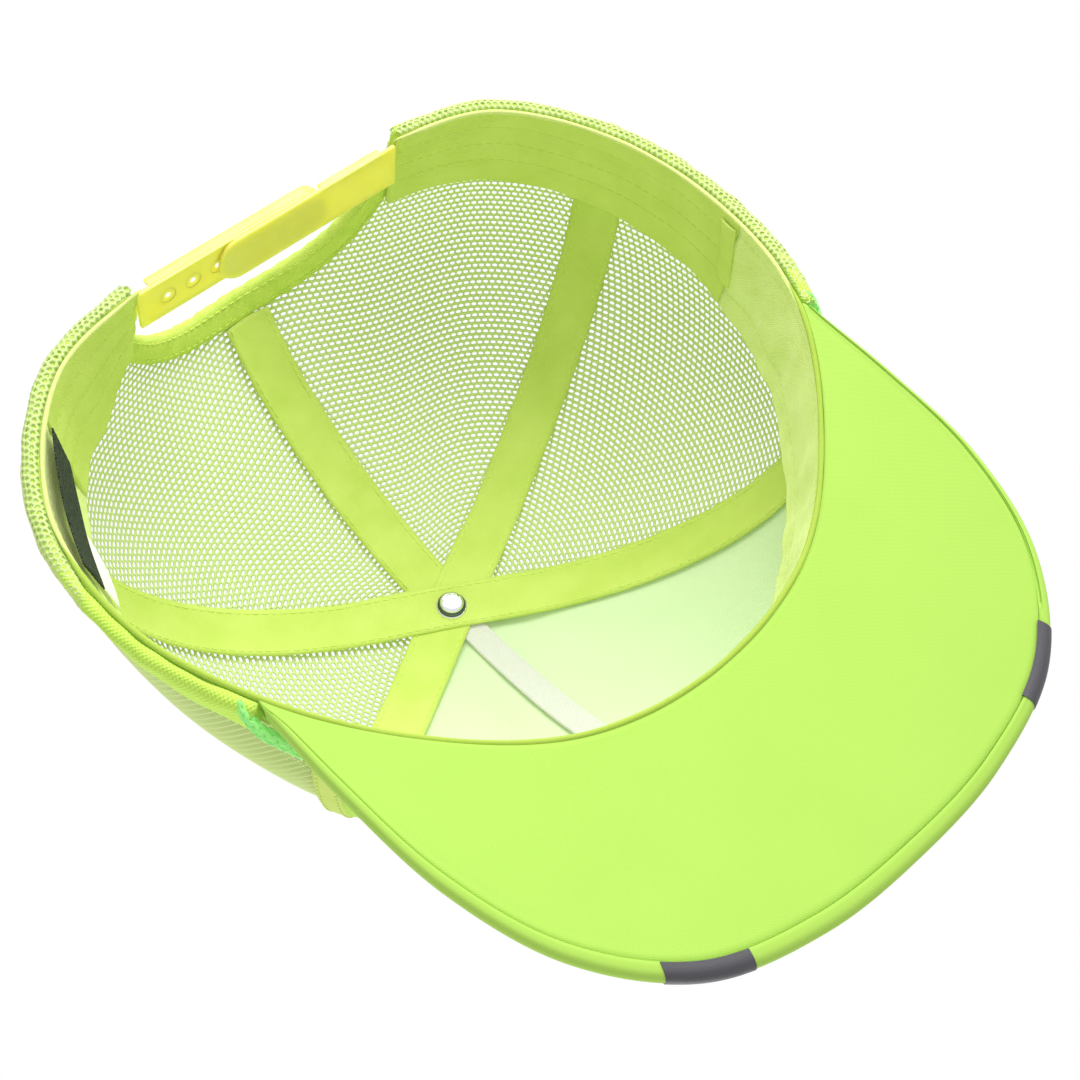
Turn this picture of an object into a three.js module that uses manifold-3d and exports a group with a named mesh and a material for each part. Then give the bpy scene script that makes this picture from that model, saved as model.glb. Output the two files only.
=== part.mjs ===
import * as THREE from 'three';
import { mergeVertices } from 'three/addons/utils/BufferGeometryUtils.js';
import Module from 'manifold-3d';

// A mesh-back cap, in millimetres. +Z is up, the visor points along -Y, the wearer's left is +X.
// While it is built, z = 0 is the plane that the sweatband's rear edge and the visor's sides lie in.

// Rim of the head opening: half of a symmetric loop, from the middle of the back round the left
// side to the middle of the front, at equal steps along the loop.
const rimHalf = [
  [0, 77, 0], [34, 65, 0], [68.5, 55, 0], [91, 28, 4], [95.5, -7.5, 4],
  [85.5, -42, 1.5], [64, -70.5, 5.5], [35.5, -92, 8.5], [0, -99, 10],
];
const rimLength = 580;

// Crown profile: a superellipse from the rim up to the apex, with an outward belly. The soft
// crown sags towards the wearer's right, so that side bellies out and the left stands straight.
const apex = { y: -11.7, z: 98.2 };
const rearProfile = { rise: 2.24, reach: 2.18, belly: 12.2 };
const sideProfile = { rise: 2.7, reach: 2.95, belly: 4.3 };
const sideSag = 8.6;
const frontProfile = { rise: 2.9, reach: 2.8, belly: 6.6 };
const apexHoleRadius = 4.5;
const levelHeight = 0.22;

// Seams, as fractions of the way round the rim from the middle of the back.
const sideRearSeam = 0.177;
const frontSideSeam = 0.34;
const seamGap = 0.25;
const panelRows = 15;

// Layers, as distances outward from the sweatband's inner face: [inner side, outer side].
const sweatbandLayer = [0, 1];
const tapeLayer = [1.3, 1.9];
const bindingLayer = [1.4, 3.8];
const backingLayer = [2.4, 3.1];
const frontLayer = [3.4, 4.6];
const meshLayer = [2.4, 3.6];

const tapeWidth = 14.2;
const frontStripWidth = 7.5;

// Rear arch opening over the snap strap.
const archHalfWidth = 45.4;
const archHeight = 47.3;
const bindingWidth = 8;

// Sweatband: free upper edge, and how far it leans inward there, left and right.
const sweatbandWidth = 31;
const frontBandLeftEnd = 0.15;
const frontBandRightEnd = 0.739;
const leanLeft = [[0.07, -7], [0.115, 3], [0.18, 6], [0.24, 7], [0.34, 4], [0.5, 2]];
const leanRight = [[0.07, -7], [0.15, -4.5], [0.22, -2], [0.29, 2.5], [0.34, 2], [0.5, 2]];

// Visor: a shallow arch across X that droops a little towards the tip.
const visorHalf = [
  [87.5, -44.5], [87.5, -73.5], [85, -102.5], [75.5, -129.5], [56, -150], [28.5, -159], [0, -161],
];
const visorCrown = 10.1;
const visorDrop = 11.3;
const visorPitch = 0.025;
const visorCorner = 0.3105;
const visorSpan = 0.97;
const coverThickness = 0.6;
const boardThickness = 2;
const layerGap = 0.3;
const foldDepth = 3.2;
const visorTop = 2 * coverThickness + boardThickness + 2 * layerGap;
const visorRootOffset = 1.4;

// Reflective tabs folded over the visor's edge, as a stretch of its outline from the middle.
const tabStretch = [0.268, 0.384];
const tabThickness = 0.4;
const tabUnder = 3.6;
const tabOver = 5;

const ropeRadius = 2.45;
const ropeStandOff = 2;

// Snap strap: two flat halves that overlap behind the head.
const strap = { endX: 40.8, outerY: 63.4, innerY: 61.8, thickness: 1.2, bottom: 0.3 };
const outerHalf = { tipX: -18, width: 12.4 };
const innerHalf = { tipX: 17, width: 13.6 };
const snapPitch = 7.7;
const firstHoleX = 32;
const holeCount = 7;
const pegCount = 6;
const firstPegX = firstHoleX - 3 * snapPitch;
const holeRadius = 2.3;
const pegRadius = 1.7;
const pegLength = 2.2;

// Woven label and care label on the left of the sweatband.
const brandLabel = { from: 0.144, to: 0.214, low: 2.5, high: 22, layer: [-1.3, -0.9] };
const careLabel = { from: 0.184, to: 0.213, low: 3, high: 28.5, layer: [-0.6, -0.3] };

const colours = {
  fabric: 0xccf972, mesh: 0xdcff82, tape: 0xc4e04c, sweatband: 0xb8d850, paleBand: 0xe1ee8c,
  backing: 0xe4f5cd, strip: 0xe8e8da, strap: 0xe8e240, rope: 0x6ee878, tab: 0x555358,
  metal: 0xd8dade, label: 0x28372a, care: 0xf2f4f0, board: 0xe6e6e6,
};

const wasm = await Module();
wasm.setup();

const cap = new THREE.Group();

function finish(colour, roughness = 0.85, metalness = 0) {
  return new THREE.MeshStandardMaterial({ color: colour, roughness, metalness });
}

function addMesh(name, geometry, material) {
  const mesh = new THREE.Mesh(geometry, material);
  mesh.name = name;
  cap.add(mesh);
}

function mirrored(half) {
  const rest = half.slice(1, -1).reverse();
  return [...half, ...rest.map(([x, y, z]) => [-x, y, z])];
}

const rimLoop = new THREE.CatmullRomCurve3(
  mirrored(rimHalf).map((p) => new THREE.Vector3(...p)), true, 'catmullrom', 0.5);

// Going round the loop by a fraction of its length: s = 0 is the middle of the back, s = 0.5 the
// middle of the front, and the left side comes first.
function rim(s) {
  return rimLoop.getPoint(((s % 1) + 1) % 1);
}

function outward(s) {
  const step = 1e-3;
  const along = rim(s + step).sub(rim(s - step));
  return new THREE.Vector3(-along.y, along.x, 0).normalize();
}

function mix(a, b, k) {
  return a + (b - a) * k;
}

function smoothStep(low, high, x) {
  const k = Math.min(Math.max((x - low) / (high - low), 0), 1);
  return k * k * (3 - 2 * k);
}

function profileAt(s) {
  const facing = Math.cos(2 * Math.PI * s);
  const end = facing > 0 ? rearProfile : frontProfile;
  const blend = (key) => mix(sideProfile[key], end[key], facing * facing);
  const sag = sideSag * Math.sin(2 * Math.PI * s) * (1 - facing * facing);
  return { rise: blend('rise'), reach: blend('reach'), belly: blend('belly') - sag };
}

// A point of the crown's reference surface; turn goes from 0 at the rim to PI / 2 at the apex.
function crownSurface(s, turn) {
  const foot = rim(s);
  const { rise, reach, belly } = profileAt(s);
  const height = Math.sin(turn) ** (2 / rise);
  const radius = Math.max(Math.cos(turn), 0) ** (2 / reach);
  const spoke = new THREE.Vector3(foot.x, foot.y - apex.y, 0);
  const length = spoke.length();
  const bulge = belly * 4 * height * (1 - height);
  spoke.multiplyScalar((length * radius + bulge) / length);
  return new THREE.Vector3(spoke.x, spoke.y + apex.y, foot.z + (apex.z - foot.z) * height);
}

function crown(s, turn, depth) {
  const step = 2e-3;
  const low = Math.max(turn, 0.02);
  const across = crownSurface(s + step, low).sub(crownSurface(s - step, low));
  const up = crownSurface(s, low + step).sub(crownSurface(s, low - step));
  const normal = across.cross(up).normalize();
  if (normal.dot(new THREE.Vector3().subVectors(crownSurface(s, low),
    new THREE.Vector3(0, apex.y, 0))) < 0) normal.negate();
  // Near the rim the layers lie side by side, so that their lower edges stay level.
  normal.z *= smoothStep(0, levelHeight, Math.sin(turn) ** (2 / profileAt(s).rise));
  normal.normalize();
  return crownSurface(s, turn).addScaledVector(normal, depth);
}

function turnAtHeight(s, z) {
  const foot = rim(s);
  const height = Math.max((z - foot.z) / (apex.z - foot.z), 0);
  return Math.asin(Math.min(height ** (profileAt(s).rise / 2), 1));
}

function turnAtTop(s, holeRadius) {
  const foot = rim(s);
  const radius = holeRadius / Math.hypot(foot.x, foot.y - apex.y);
  return Math.acos(radius ** (profileAt(s).reach / 2));
}

// Length of one whole turn round the crown at this height, so that a width becomes a step in s.
function roundLength(s, turn) {
  const step = 2e-3;
  return crownSurface(s + step, turn).distanceTo(crownSurface(s - step, turn)) / (2 * step);
}

// Where the crown's fabric starts: at the rim, or on top of the visor where the visor is sewn in.
function fabricStart(s) {
  const half = Math.min(s, 1 - s);
  return rim(s).z + (visorTop + layerGap + 0.2) * smoothStep(visorCorner - 0.016, visorCorner - 0.002, half);
}

function fromGrids(inner, outer) {
  const rows = inner.length;
  const columns = inner[0].length;
  const positions = [...inner.flat(), ...outer.flat()].flatMap((p) => [p.x, p.y, p.z]);
  const at = (side, i, j) => side * rows * columns + i * columns + j;
  const faces = [];
  const quad = (a, b, c, d) => faces.push(a, b, c, a, c, d);
  for (let i = 0; i < rows - 1; i += 1) {
    for (let j = 0; j < columns - 1; j += 1) {
      quad(at(0, i, j), at(0, i, j + 1), at(0, i + 1, j + 1), at(0, i + 1, j));
      quad(at(1, i, j), at(1, i + 1, j), at(1, i + 1, j + 1), at(1, i, j + 1));
    }
    quad(at(0, i, 0), at(0, i + 1, 0), at(1, i + 1, 0), at(1, i, 0));
    quad(at(0, i, columns - 1), at(1, i, columns - 1), at(1, i + 1, columns - 1), at(0, i + 1, columns - 1));
  }
  for (let j = 0; j < columns - 1; j += 1) {
    quad(at(0, 0, j), at(1, 0, j), at(1, 0, j + 1), at(0, 0, j + 1));
    quad(at(0, rows - 1, j), at(0, rows - 1, j + 1), at(1, rows - 1, j + 1), at(1, rows - 1, j));
  }
  return outwardFacing(positions, faces);
}

function signedVolume(positions, faces) {
  const corner = (i) => new THREE.Vector3().fromArray(positions, 3 * i);
  let total = 0;
  for (let i = 0; i < faces.length; i += 3) {
    total += corner(faces[i]).dot(corner(faces[i + 1]).cross(corner(faces[i + 2]))) / 6;
  }
  return total;
}

function outwardFacing(positions, faces) {
  if (signedVolume(positions, faces) < 0) faces.reverse();
  const geometry = new THREE.BufferGeometry();
  geometry.setAttribute('position', new THREE.Float32BufferAttribute(positions, 3));
  geometry.setIndex(faces);
  geometry.computeVertexNormals();
  return geometry;
}

// A sheet with thickness: pointAt(u, v, side) gives its inner face for side 0, its outer for 1.
function sheet(uSteps, vSteps, pointAt) {
  const grid = (side) => Array.from({ length: uSteps + 1 }, (_, i) =>
    Array.from({ length: vSteps + 1 }, (_, j) => pointAt(i / uSteps, j / vSteps, side)));
  return fromGrids(grid(0), grid(1));
}

// A closed solid through rings of points, capped at both ends by the flat outline of each ring.
function loft(rings, outlines) {
  const count = rings[0].length;
  const positions = rings.flat().flatMap((p) => [p.x, p.y, p.z]);
  const faces = [];
  for (let i = 0; i < rings.length - 1; i += 1) {
    for (let j = 0; j < count; j += 1) {
      const next = (j + 1) % count;
      const [a, b] = [i * count + j, i * count + next];
      faces.push(a, b, b + count, a, b + count, a + count);
    }
  }
  const cap = (outline, base, flip) => {
    for (const [a, b, c] of THREE.ShapeUtils.triangulateShape(outline, [])) {
      faces.push(...(flip ? [base + c, base + b, base + a] : [base + a, base + b, base + c]));
    }
  };
  const windsLeft = THREE.ShapeUtils.area(outlines[0]) > 0;
  cap(outlines[0], 0, windsLeft);
  cap(outlines[1], (rings.length - 1) * count, !windsLeft);
  return outwardFacing(positions, faces);
}

// A crown panel between two seams, from the fabric's start up to the hole at the apex.
function panel(from, to, layer, startTurn, columns = 10, rows = panelRows) {
  return sheet(columns, rows, (u, v, side) => {
    const seamS = mix(from, to, u);
    const turn = mix(startTurn(seamS), turnAtTop(seamS, apexHoleRadius), v);
    const inset = seamGap / roundLength(seamS, turn);
    const s = seamS + inset * (1 - 2 * u) * Math.sign(to - from);
    return crown(s, turn, layer[side]);
  });
}

function archTop(distance, grow) {
  const k = Math.min(Math.abs(distance) / (archHalfWidth + grow), 1);
  return (archHeight + grow) * Math.sqrt(1 - k * k);
}

// The rear panels start above the arch: their first columns follow the arch round its bend.
function rearPanel(side) {
  const grow = bindingWidth + layerGap;
  const bend = (archHalfWidth + grow) / rimLength;
  const columns = 14;
  const bendColumns = 9;
  const fractions = Array.from({ length: columns + 1 }, (_, i) => (i <= bendColumns
    ? bend * Math.sin((i / bendColumns) * Math.PI / 2)
    : mix(bend, sideRearSeam, (i - bendColumns) / (columns - bendColumns))));
  return sheet(columns, panelRows, (u, v, layerSide) => {
    const half = fractions[Math.round(u * columns)];
    const low = half < bend ? turnAtHeight(half, rim(half).z + archTop(half * rimLength, grow)) : 0;
    const turn = mix(low, turnAtTop(half, apexHoleRadius), v);
    const inset = seamGap / roundLength(half, turn);
    const inside = half + inset * (1 - 2 * half / sideRearSeam);
    return crown(side * inside, turn, meshLayer[layerSide]);
  });
}

// Seam tape of even width, narrowed near the apex where it would meet its neighbours.
function tape(seam, width, leftRoom, rightRoom, startTurn) {
  return sheet(panelRows, 2, (u, v, side) => {
    const turn = mix(startTurn, turnAtTop(seam, apexHoleRadius + 1.2), u);
    const around = roundLength(seam, turn);
    const room = v < 0.5 ? leftRoom : rightRoom;
    const reach = Math.min(width / 2, around * room - 0.3) / around;
    return crown(seam + (2 * v - 1) * reach, turn, tapeLayer[side]);
  });
}

function addPanels() {
  const start = (s) => turnAtHeight(s, fabricStart(s));
  const sides = [['left', 1], ['right', -1]];
  for (const [name, side] of sides) {
    const place = (s) => (side > 0 ? s : 1 - s);
    const front = [place(frontSideSeam), place(0.5)];
    addMesh(`front_panel_${name}`, panel(...front, frontLayer, start), finish(colours.fabric));
    addMesh(`front_backing_${name}`, panel(...front, backingLayer, start), finish(colours.backing));
    addMesh(`side_mesh_${name}`,
      panel(place(sideRearSeam), place(frontSideSeam), meshLayer, start), finish(colours.mesh));
    addMesh(`rear_mesh_${name}`, rearPanel(side), finish(colours.mesh));
  }
}

function addTapes() {
  const rearRoom = sideRearSeam / 2;
  const sideRoom = (frontSideSeam - sideRearSeam) / 2;
  const frontRoom = (0.5 - frontSideSeam) / 2;
  const start = (s) => turnAtHeight(s, fabricStart(s) + 0.3);
  const [rear, front] = [sideRearSeam, frontSideSeam];
  const material = finish(colours.tape);
  addMesh('side_rear_tape_left', tape(rear, tapeWidth, rearRoom, sideRoom, start(rear)), material);
  addMesh('side_rear_tape_right', tape(1 - rear, tapeWidth, sideRoom, rearRoom, start(1 - rear)), material);
  addMesh('front_side_tape_left', tape(front, tapeWidth, sideRoom, frontRoom, start(front)), material);
  addMesh('front_side_tape_right',
    tape(1 - front, tapeWidth, frontRoom, sideRoom, start(1 - front)), material);
  const overArch = turnAtHeight(0, archHeight + bindingWidth + 1.2);
  addMesh('rear_tape', tape(0, tapeWidth, rearRoom, rearRoom, overArch), material);
  addMesh('front_seam_strip',
    tape(0.5, frontStripWidth, frontRoom, frontRoom, start(0.5)), finish(colours.strip));
}

function addBinding() {
  const geometry = sheet(32, 1, (u, v, side) => {
    const angle = Math.PI * u;
    const grow = bindingWidth * v;
    const s = (archHalfWidth + grow) * Math.cos(angle) / rimLength;
    const z = rim(s).z + (archHeight + grow) * Math.sin(angle);
    return crown(s, turnAtHeight(s, z), bindingLayer[side]);
  });
  addMesh('rear_arch_binding', geometry, finish(colours.fabric));
}

function leanAt(s) {
  const list = s <= 0.5 ? leanLeft : leanRight;
  const half = Math.min(s, 1 - s);
  let lean = list[0][1];
  for (let i = 1; i < list.length; i += 1) {
    lean = mix(lean, list[i][1], smoothStep(list[i - 1][0], list[i][0], half));
  }
  return lean;
}

// A point of the sweatband, at a distance up its own width.
function sweatband(s, rise, depth) {
  const lean = leanAt(s) * rise / sweatbandWidth;
  const height = Math.sqrt(rise * rise - lean * lean);
  const point = rim(s).addScaledVector(outward(s), depth - lean);
  return point.add(new THREE.Vector3(0, 0, height));
}

function addSweatband() {
  const band = (from, to, steps) => sheet(steps, 3, (u, v, side) =>
    sweatband(mix(from, to, u), v * sweatbandWidth, sweatbandLayer[side]));
  const joint = 0.3 / rimLength;
  const rearEnd = archHalfWidth / rimLength;
  const material = finish(colours.sweatband);
  addMesh('sweatband_front', band(frontBandLeftEnd, frontBandRightEnd, 40), finish(colours.paleBand));
  addMesh('sweatband_rear_left', band(rearEnd, frontBandLeftEnd - joint, 8), material);
  addMesh('sweatband_rear_right', band(frontBandRightEnd + joint, 1 - rearEnd, 14), material);
}

function addLabels() {
  const label = ({ from, to, low, high, layer }) => sheet(6, 3, (u, v, side) =>
    sweatband(mix(from, to, u), mix(low, high, v), layer[side]));
  addMesh('brand_label', label(brandLabel), finish(colours.label, 0.9));
  addMesh('care_label', label(careLabel), finish(colours.care, 0.6));
}

const visorOutline = new THREE.CatmullRomCurve3(
  [...visorHalf, ...visorHalf.slice(0, -1).reverse().map(([x, y]) => [-x, y])]
    .map(([x, y]) => new THREE.Vector3(x, y, 0)), false, 'catmullrom', 0.5);

function visorZ(x, y) {
  return visorCrown - visorDrop * (x / 90) ** 2 + visorPitch * (y - rimHalf[8][1]);
}

// The two ends of the line that runs across the visor at q, from 1 at the left to -1 at the right.
function visorLine(q) {
  const s = 0.5 - (0.5 - visorCorner) * q;
  const root = rim(s).addScaledVector(outward(s), visorRootOffset).setZ(0);
  const edge = visorOutline.getPoint((1 - q) / 2).setZ(0);
  return { root, edge, length: root.distanceTo(edge) };
}

function onVisor({ root, edge, length }, distance, height) {
  const point = root.clone().lerp(edge, distance / length);
  return point.setZ(visorZ(point.x, point.y) + height);
}

function visorSheet(bottom, thickness, edgeInset) {
  return sheet(26, 5, (u, v, side) => {
    const line = visorLine(mix(visorSpan, -visorSpan, u));
    const reach = Math.max(line.length - edgeInset(line), 1.5);
    return onVisor(line, v * reach, bottom + side * thickness);
  });
}

function foldAt(line) {
  return Math.min(foldDepth, 0.35 * line.length);
}

// Closed section that starts at the root, goes over the top, round the edge and a little way back.
function wrapSection(line, start, clearance, thickness, under) {
  const edge = line.length - clearance;
  const inner = edge - thickness;
  const low = clearance ? 0 : -tabThickness - layerGap;
  const high = visorTop + (clearance ? 0 : tabThickness + layerGap);
  return [
    [start, high], [mix(start, edge, 0.35), high], [mix(start, edge, 0.7), high], [edge, high],
    [edge, low], [edge - under, low], [edge - under, low + thickness], [inner, low + thickness],
    [inner, high - thickness], [mix(start, edge, 0.7), high - thickness],
    [mix(start, edge, 0.35), high - thickness], [start, high - thickness],
  ];
}

function wrapAlong(steps, sectionAt) {
  const sections = Array.from({ length: steps + 1 }, (_, i) => sectionAt(i / steps));
  const rings = sections.map(({ line, section }) => section.map(([d, h]) => onVisor(line, d, h)));
  const outline = ({ section }) => section.map(([d, h]) => new THREE.Vector2(d, h));
  return loft(rings, [outline(sections[0]), outline(sections[steps])]);
}

function addVisor() {
  const clear = coverThickness + layerGap;
  addMesh('visor_board', visorSheet(clear, boardThickness, () => 0.7 + clear), finish(colours.board));
  addMesh('visor_under_cover',
    visorSheet(0, coverThickness, (line) => foldAt(line) + coverThickness + 0.9), finish(colours.fabric));
  const cover = wrapAlong(30, (k) => {
    const line = visorLine(mix(visorSpan, -visorSpan, k));
    return { line, section: wrapSection(line, 0, 0.7, coverThickness, foldAt(line)) };
  });
  addMesh('visor_top_cover', cover, finish(colours.fabric));
  for (const [name, side] of [['left', 1], ['right', -1]]) {
    const tab = wrapAlong(6, (k) => {
      const line = visorLine(side * mix(...tabStretch, k));
      return { line, section: wrapSection(line, line.length - tabOver, 0, tabThickness, tabUnder) };
    });
    addMesh(`visor_tab_${name}`, tab, finish(colours.tab, 0.5));
  }
}

function addRope() {
  const steps = 44;
  const points = Array.from({ length: steps + 1 }, (_, i) => {
    const q = mix(0.985, -0.985, i / steps);
    const s = 0.5 - (0.5 - visorCorner) * q;
    const point = rim(s).addScaledVector(outward(s), frontLayer[1] + ropeRadius + ropeStandOff);
    return point.setZ(visorZ(point.x, point.y) + visorTop + ropeRadius + 0.4);
  });
  const section = new THREE.Shape();
  section.absarc(0, 0, ropeRadius, 0, 2 * Math.PI);
  const geometry = new THREE.ExtrudeGeometry(section, {
    curveSegments: 4, steps, extrudePath: new THREE.CatmullRomCurve3(points),
  });
  addMesh('visor_rope', geometry, finish(colours.rope));
}

function toManifold(geometry) {
  const bare = geometry.clone();
  for (const name of ['normal', 'uv']) bare.deleteAttribute(name);
  const merged = mergeVertices(bare, 1e-4);
  return new wasm.Manifold(new wasm.Mesh({
    numProp: 3,
    vertProperties: merged.attributes.position.array,
    triVerts: new Uint32Array(merged.index.array),
  }));
}

function fromManifold(solid) {
  const mesh = solid.getMesh();
  const geometry = new THREE.BufferGeometry();
  geometry.setAttribute('position', new THREE.BufferAttribute(mesh.vertProperties, 3));
  geometry.setIndex(Array.from(mesh.triVerts));
  geometry.computeVertexNormals();
  return geometry;
}

// Flat strip in the X-Z plane with a rounded tip, standing on its long edge.
function strapPlate(fromX, tipX, width) {
  const r = width / 2;
  const way = Math.sign(tipX - fromX);
  const shape = new THREE.Shape();
  shape.moveTo(fromX, 0);
  shape.lineTo(tipX - way * r, 0);
  shape.absarc(tipX - way * r, r, r, -Math.PI / 2, Math.PI / 2, way < 0);
  shape.lineTo(fromX, width);
  const plate = new THREE.ExtrudeGeometry(shape, {
    depth: strap.thickness, bevelEnabled: false, curveSegments: 12,
  });
  return plate.rotateX(Math.PI / 2).translate(0, strap.thickness, strap.bottom);
}

// Round bar along Y, for the pegs and for cutting the holes that take them.
function crossBar(radius, x, fromY, toY, z) {
  const bar = new THREE.CylinderGeometry(radius, radius, toY - fromY, 12);
  return toManifold(bar.translate(x, (fromY + toY) / 2, z));
}

function addStrap() {
  const middle = strap.bottom + innerHalf.width / 2;
  const lift = (innerHalf.width - outerHalf.width) / 2;
  let outer = toManifold(strapPlate(strap.endX, outerHalf.tipX, outerHalf.width)
    .translate(0, strap.outerY, lift));
  for (let i = 0; i < holeCount; i += 1) {
    const x = firstHoleX - i * snapPitch;
    outer = outer.subtract(crossBar(holeRadius, x, strap.outerY - 1, strap.outerY + 3, middle));
  }
  let inner = toManifold(strapPlate(-strap.endX, innerHalf.tipX, innerHalf.width)
    .translate(0, strap.innerY, 0));
  const face = strap.innerY + strap.thickness;
  for (let i = 0; i < pegCount; i += 1) {
    const x = firstPegX - i * snapPitch;
    inner = inner.add(crossBar(pegRadius, x, face - 0.4, face + pegLength, middle));
  }
  addMesh('snap_strap_left', fromManifold(outer), finish(colours.strap, 0.3));
  addMesh('snap_strap_right', fromManifold(inner), finish(colours.strap, 0.3));
}

function lathe(profile, segments) {
  const geometry = new THREE.LatheGeometry(profile.map(([r, z]) => new THREE.Vector2(r, z)), segments);
  return geometry.rotateX(Math.PI / 2).translate(0, apex.y, apex.z);
}

// Covered button on top of the crown, and the rivet that comes up through the panels to meet it.
function addButton() {
  const roof = frontLayer[1] + 0.5;
  const button = lathe([
    [0, roof], [6.8, roof - 0.1], [7.4, roof + 0.7], [7.2, roof + 2], [5.6, roof + 3.6],
    [3, roof + 4.5], [0, roof + 4.8],
  ], 20);
  const rivet = lathe([
    [0, -1.9], [2.4, -1.6], [3.9, -0.6], [4.4, 0.4], [4.2, 0.9], [1.7, 1], [1.7, roof - 0.4],
    [0, roof - 0.4],
  ], 20);
  addMesh('crown_button', button, finish(colours.fabric));
  addMesh('button_rivet', rivet, finish(colours.metal, 0.15, 1));
}

addPanels();
addTapes();
addBinding();
addSweatband();
addLabels();
addVisor();
addRope();
addStrap();
addButton();

// The origin is the middle of the bottom of the whole cap's box.
const box = new THREE.Box3().setFromObject(cap, true);
cap.position.set(-(box.min.x + box.max.x) / 2, -(box.min.y + box.max.y) / 2, -box.min.z);

const model = new THREE.Group();
model.add(cap);

export default model;
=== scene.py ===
import math

import bmesh
import bpy
import numpy as np
from mathutils import Matrix, Vector


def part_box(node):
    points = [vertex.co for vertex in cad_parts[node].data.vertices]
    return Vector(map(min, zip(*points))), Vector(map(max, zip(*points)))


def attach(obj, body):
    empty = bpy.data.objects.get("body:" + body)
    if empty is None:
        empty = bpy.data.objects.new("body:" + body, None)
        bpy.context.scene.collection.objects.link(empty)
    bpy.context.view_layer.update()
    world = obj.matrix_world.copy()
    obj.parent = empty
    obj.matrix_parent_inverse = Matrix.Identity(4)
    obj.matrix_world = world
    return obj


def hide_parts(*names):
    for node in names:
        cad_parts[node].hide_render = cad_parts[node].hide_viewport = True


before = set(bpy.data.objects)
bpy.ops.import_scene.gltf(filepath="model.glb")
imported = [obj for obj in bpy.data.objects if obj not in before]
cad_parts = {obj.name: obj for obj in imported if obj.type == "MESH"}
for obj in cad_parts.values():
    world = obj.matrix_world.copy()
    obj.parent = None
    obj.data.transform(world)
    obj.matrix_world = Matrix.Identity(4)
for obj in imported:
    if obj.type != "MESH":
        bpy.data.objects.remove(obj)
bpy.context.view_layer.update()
print("frame loaded")

# The sewing pattern in millimetres, in the cap's own frame, where z = 0 is the plane of the opening.
pattern = {
    "rimHalf": [
        (0, 77, 0), (34, 65, 0), (68.5, 55, 0), (91, 28, 4), (95.5, -7.5, 4),
        (85.5, -42, 1.5), (64, -70.5, 5.5), (35.5, -92, 8.5), (0, -99, 10),
    ],
    "rimLength": 580.0,
    "apexY": -11.7,
    "apexZ": 98.2,
    "rivetDrop": 1.9,
    "rearProfile": (2.24, 2.18, 12.2),  # rise, reach, belly
    "sideProfile": (2.7, 2.95, 4.3),
    "frontProfile": (2.9, 2.8, 6.6),
    "sideSag": 8.6,
    "sideRearSeam": 0.177,
    "frontSideSeam": 0.34,
    "apexHole": 4.5,
    "archHalfWidth": 45.4,
    "archHeight": 47.3,
    "visorCorner": 0.3105,
    "visorTop": 3.8,
}
rivetLow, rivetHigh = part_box("button_rivet")
capShift = np.array([
    500 * (rivetLow.x + rivetHigh.x),
    500 * (rivetLow.y + rivetHigh.y) - pattern["apexY"],
    1000 * rivetLow.z - (pattern["apexZ"] - pattern["rivetDrop"]),
])


def toRow(points):
    return (np.asarray(points, float) + capShift) / 1000


def unit(vectors):
    return vectors / (np.linalg.norm(vectors, axis=-1, keepdims=True) + 1e-12)


def lengthsAlong(path):
    return np.concatenate([[0], np.cumsum(np.linalg.norm(np.diff(path, axis=0), axis=1))])


def mirroredLoop(half):
    return np.array(list(half) + [(-x, y, z) for x, y, z in half[-2:0:-1]], float)


def splineAt(points, t, closed):
    count = len(points)
    if closed:
        x = np.mod(t, 1) * count
        i = np.floor(x).astype(int)
        a, b, c, d = (points[np.mod(i + k, count)] for k in (-1, 0, 1, 2))
    else:
        ends = np.vstack([2 * points[0] - points[1], points, 2 * points[-1] - points[-2]])
        x = np.clip(t, 0, 1) * (count - 1)
        i = np.minimum(np.floor(x).astype(int), count - 2)
        a, b, c, d = (ends[i + k] for k in (0, 1, 2, 3))
    w = (x - i)[..., None]
    return 0.5 * (2 * b + (c - a) * w + (2 * a - 5 * b + 4 * c - d) * w**2 + (3 * b - a - 3 * c + d) * w**3)


rimPoints = mirroredLoop(pattern["rimHalf"])


def rimAt(s):
    return splineAt(rimPoints, np.asarray(s, float), True)


def outwardAt(s):
    along = rimAt(s + 1e-3) - rimAt(s - 1e-3)
    return unit(np.stack([-along[..., 1], along[..., 0], 0 * along[..., 0]], -1))


def smoothStep(low, high, x):
    k = np.clip((x - low) / (high - low), 0, 1)
    return k * k * (3 - 2 * k)


def profileAt(s):
    facing = np.cos(2 * np.pi * s)
    share = (facing**2)[..., None]
    end = np.where(facing[..., None] > 0, pattern["rearProfile"], pattern["frontProfile"])
    rise, reach, belly = np.moveaxis(np.array(pattern["sideProfile"]) * (1 - share) + end * share, -1, 0)
    return rise, reach, belly - pattern["sideSag"] * np.sin(2 * np.pi * s) * (1 - facing**2)


# The crown's reference surface: s goes round the rim, turn from 0 at the rim to a quarter turn on top.
def surfaceAt(s, turn):
    s, turn = np.broadcast_arrays(np.asarray(s, float), np.asarray(turn, float))
    foot = rimAt(s)
    rise, reach, belly = profileAt(s)
    height = np.maximum(np.sin(turn), 0) ** (2 / rise)
    spoke = foot - (0, pattern["apexY"], 0)
    spoke[..., 2] = 0
    length = np.linalg.norm(spoke, axis=-1)
    share = np.maximum(np.cos(turn), 0) ** (2 / reach) + belly * 4 * height * (1 - height) / length
    point = spoke * share[..., None]
    point[..., 1] += pattern["apexY"]
    point[..., 2] = foot[..., 2] + (pattern["apexZ"] - foot[..., 2]) * height
    return point


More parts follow.
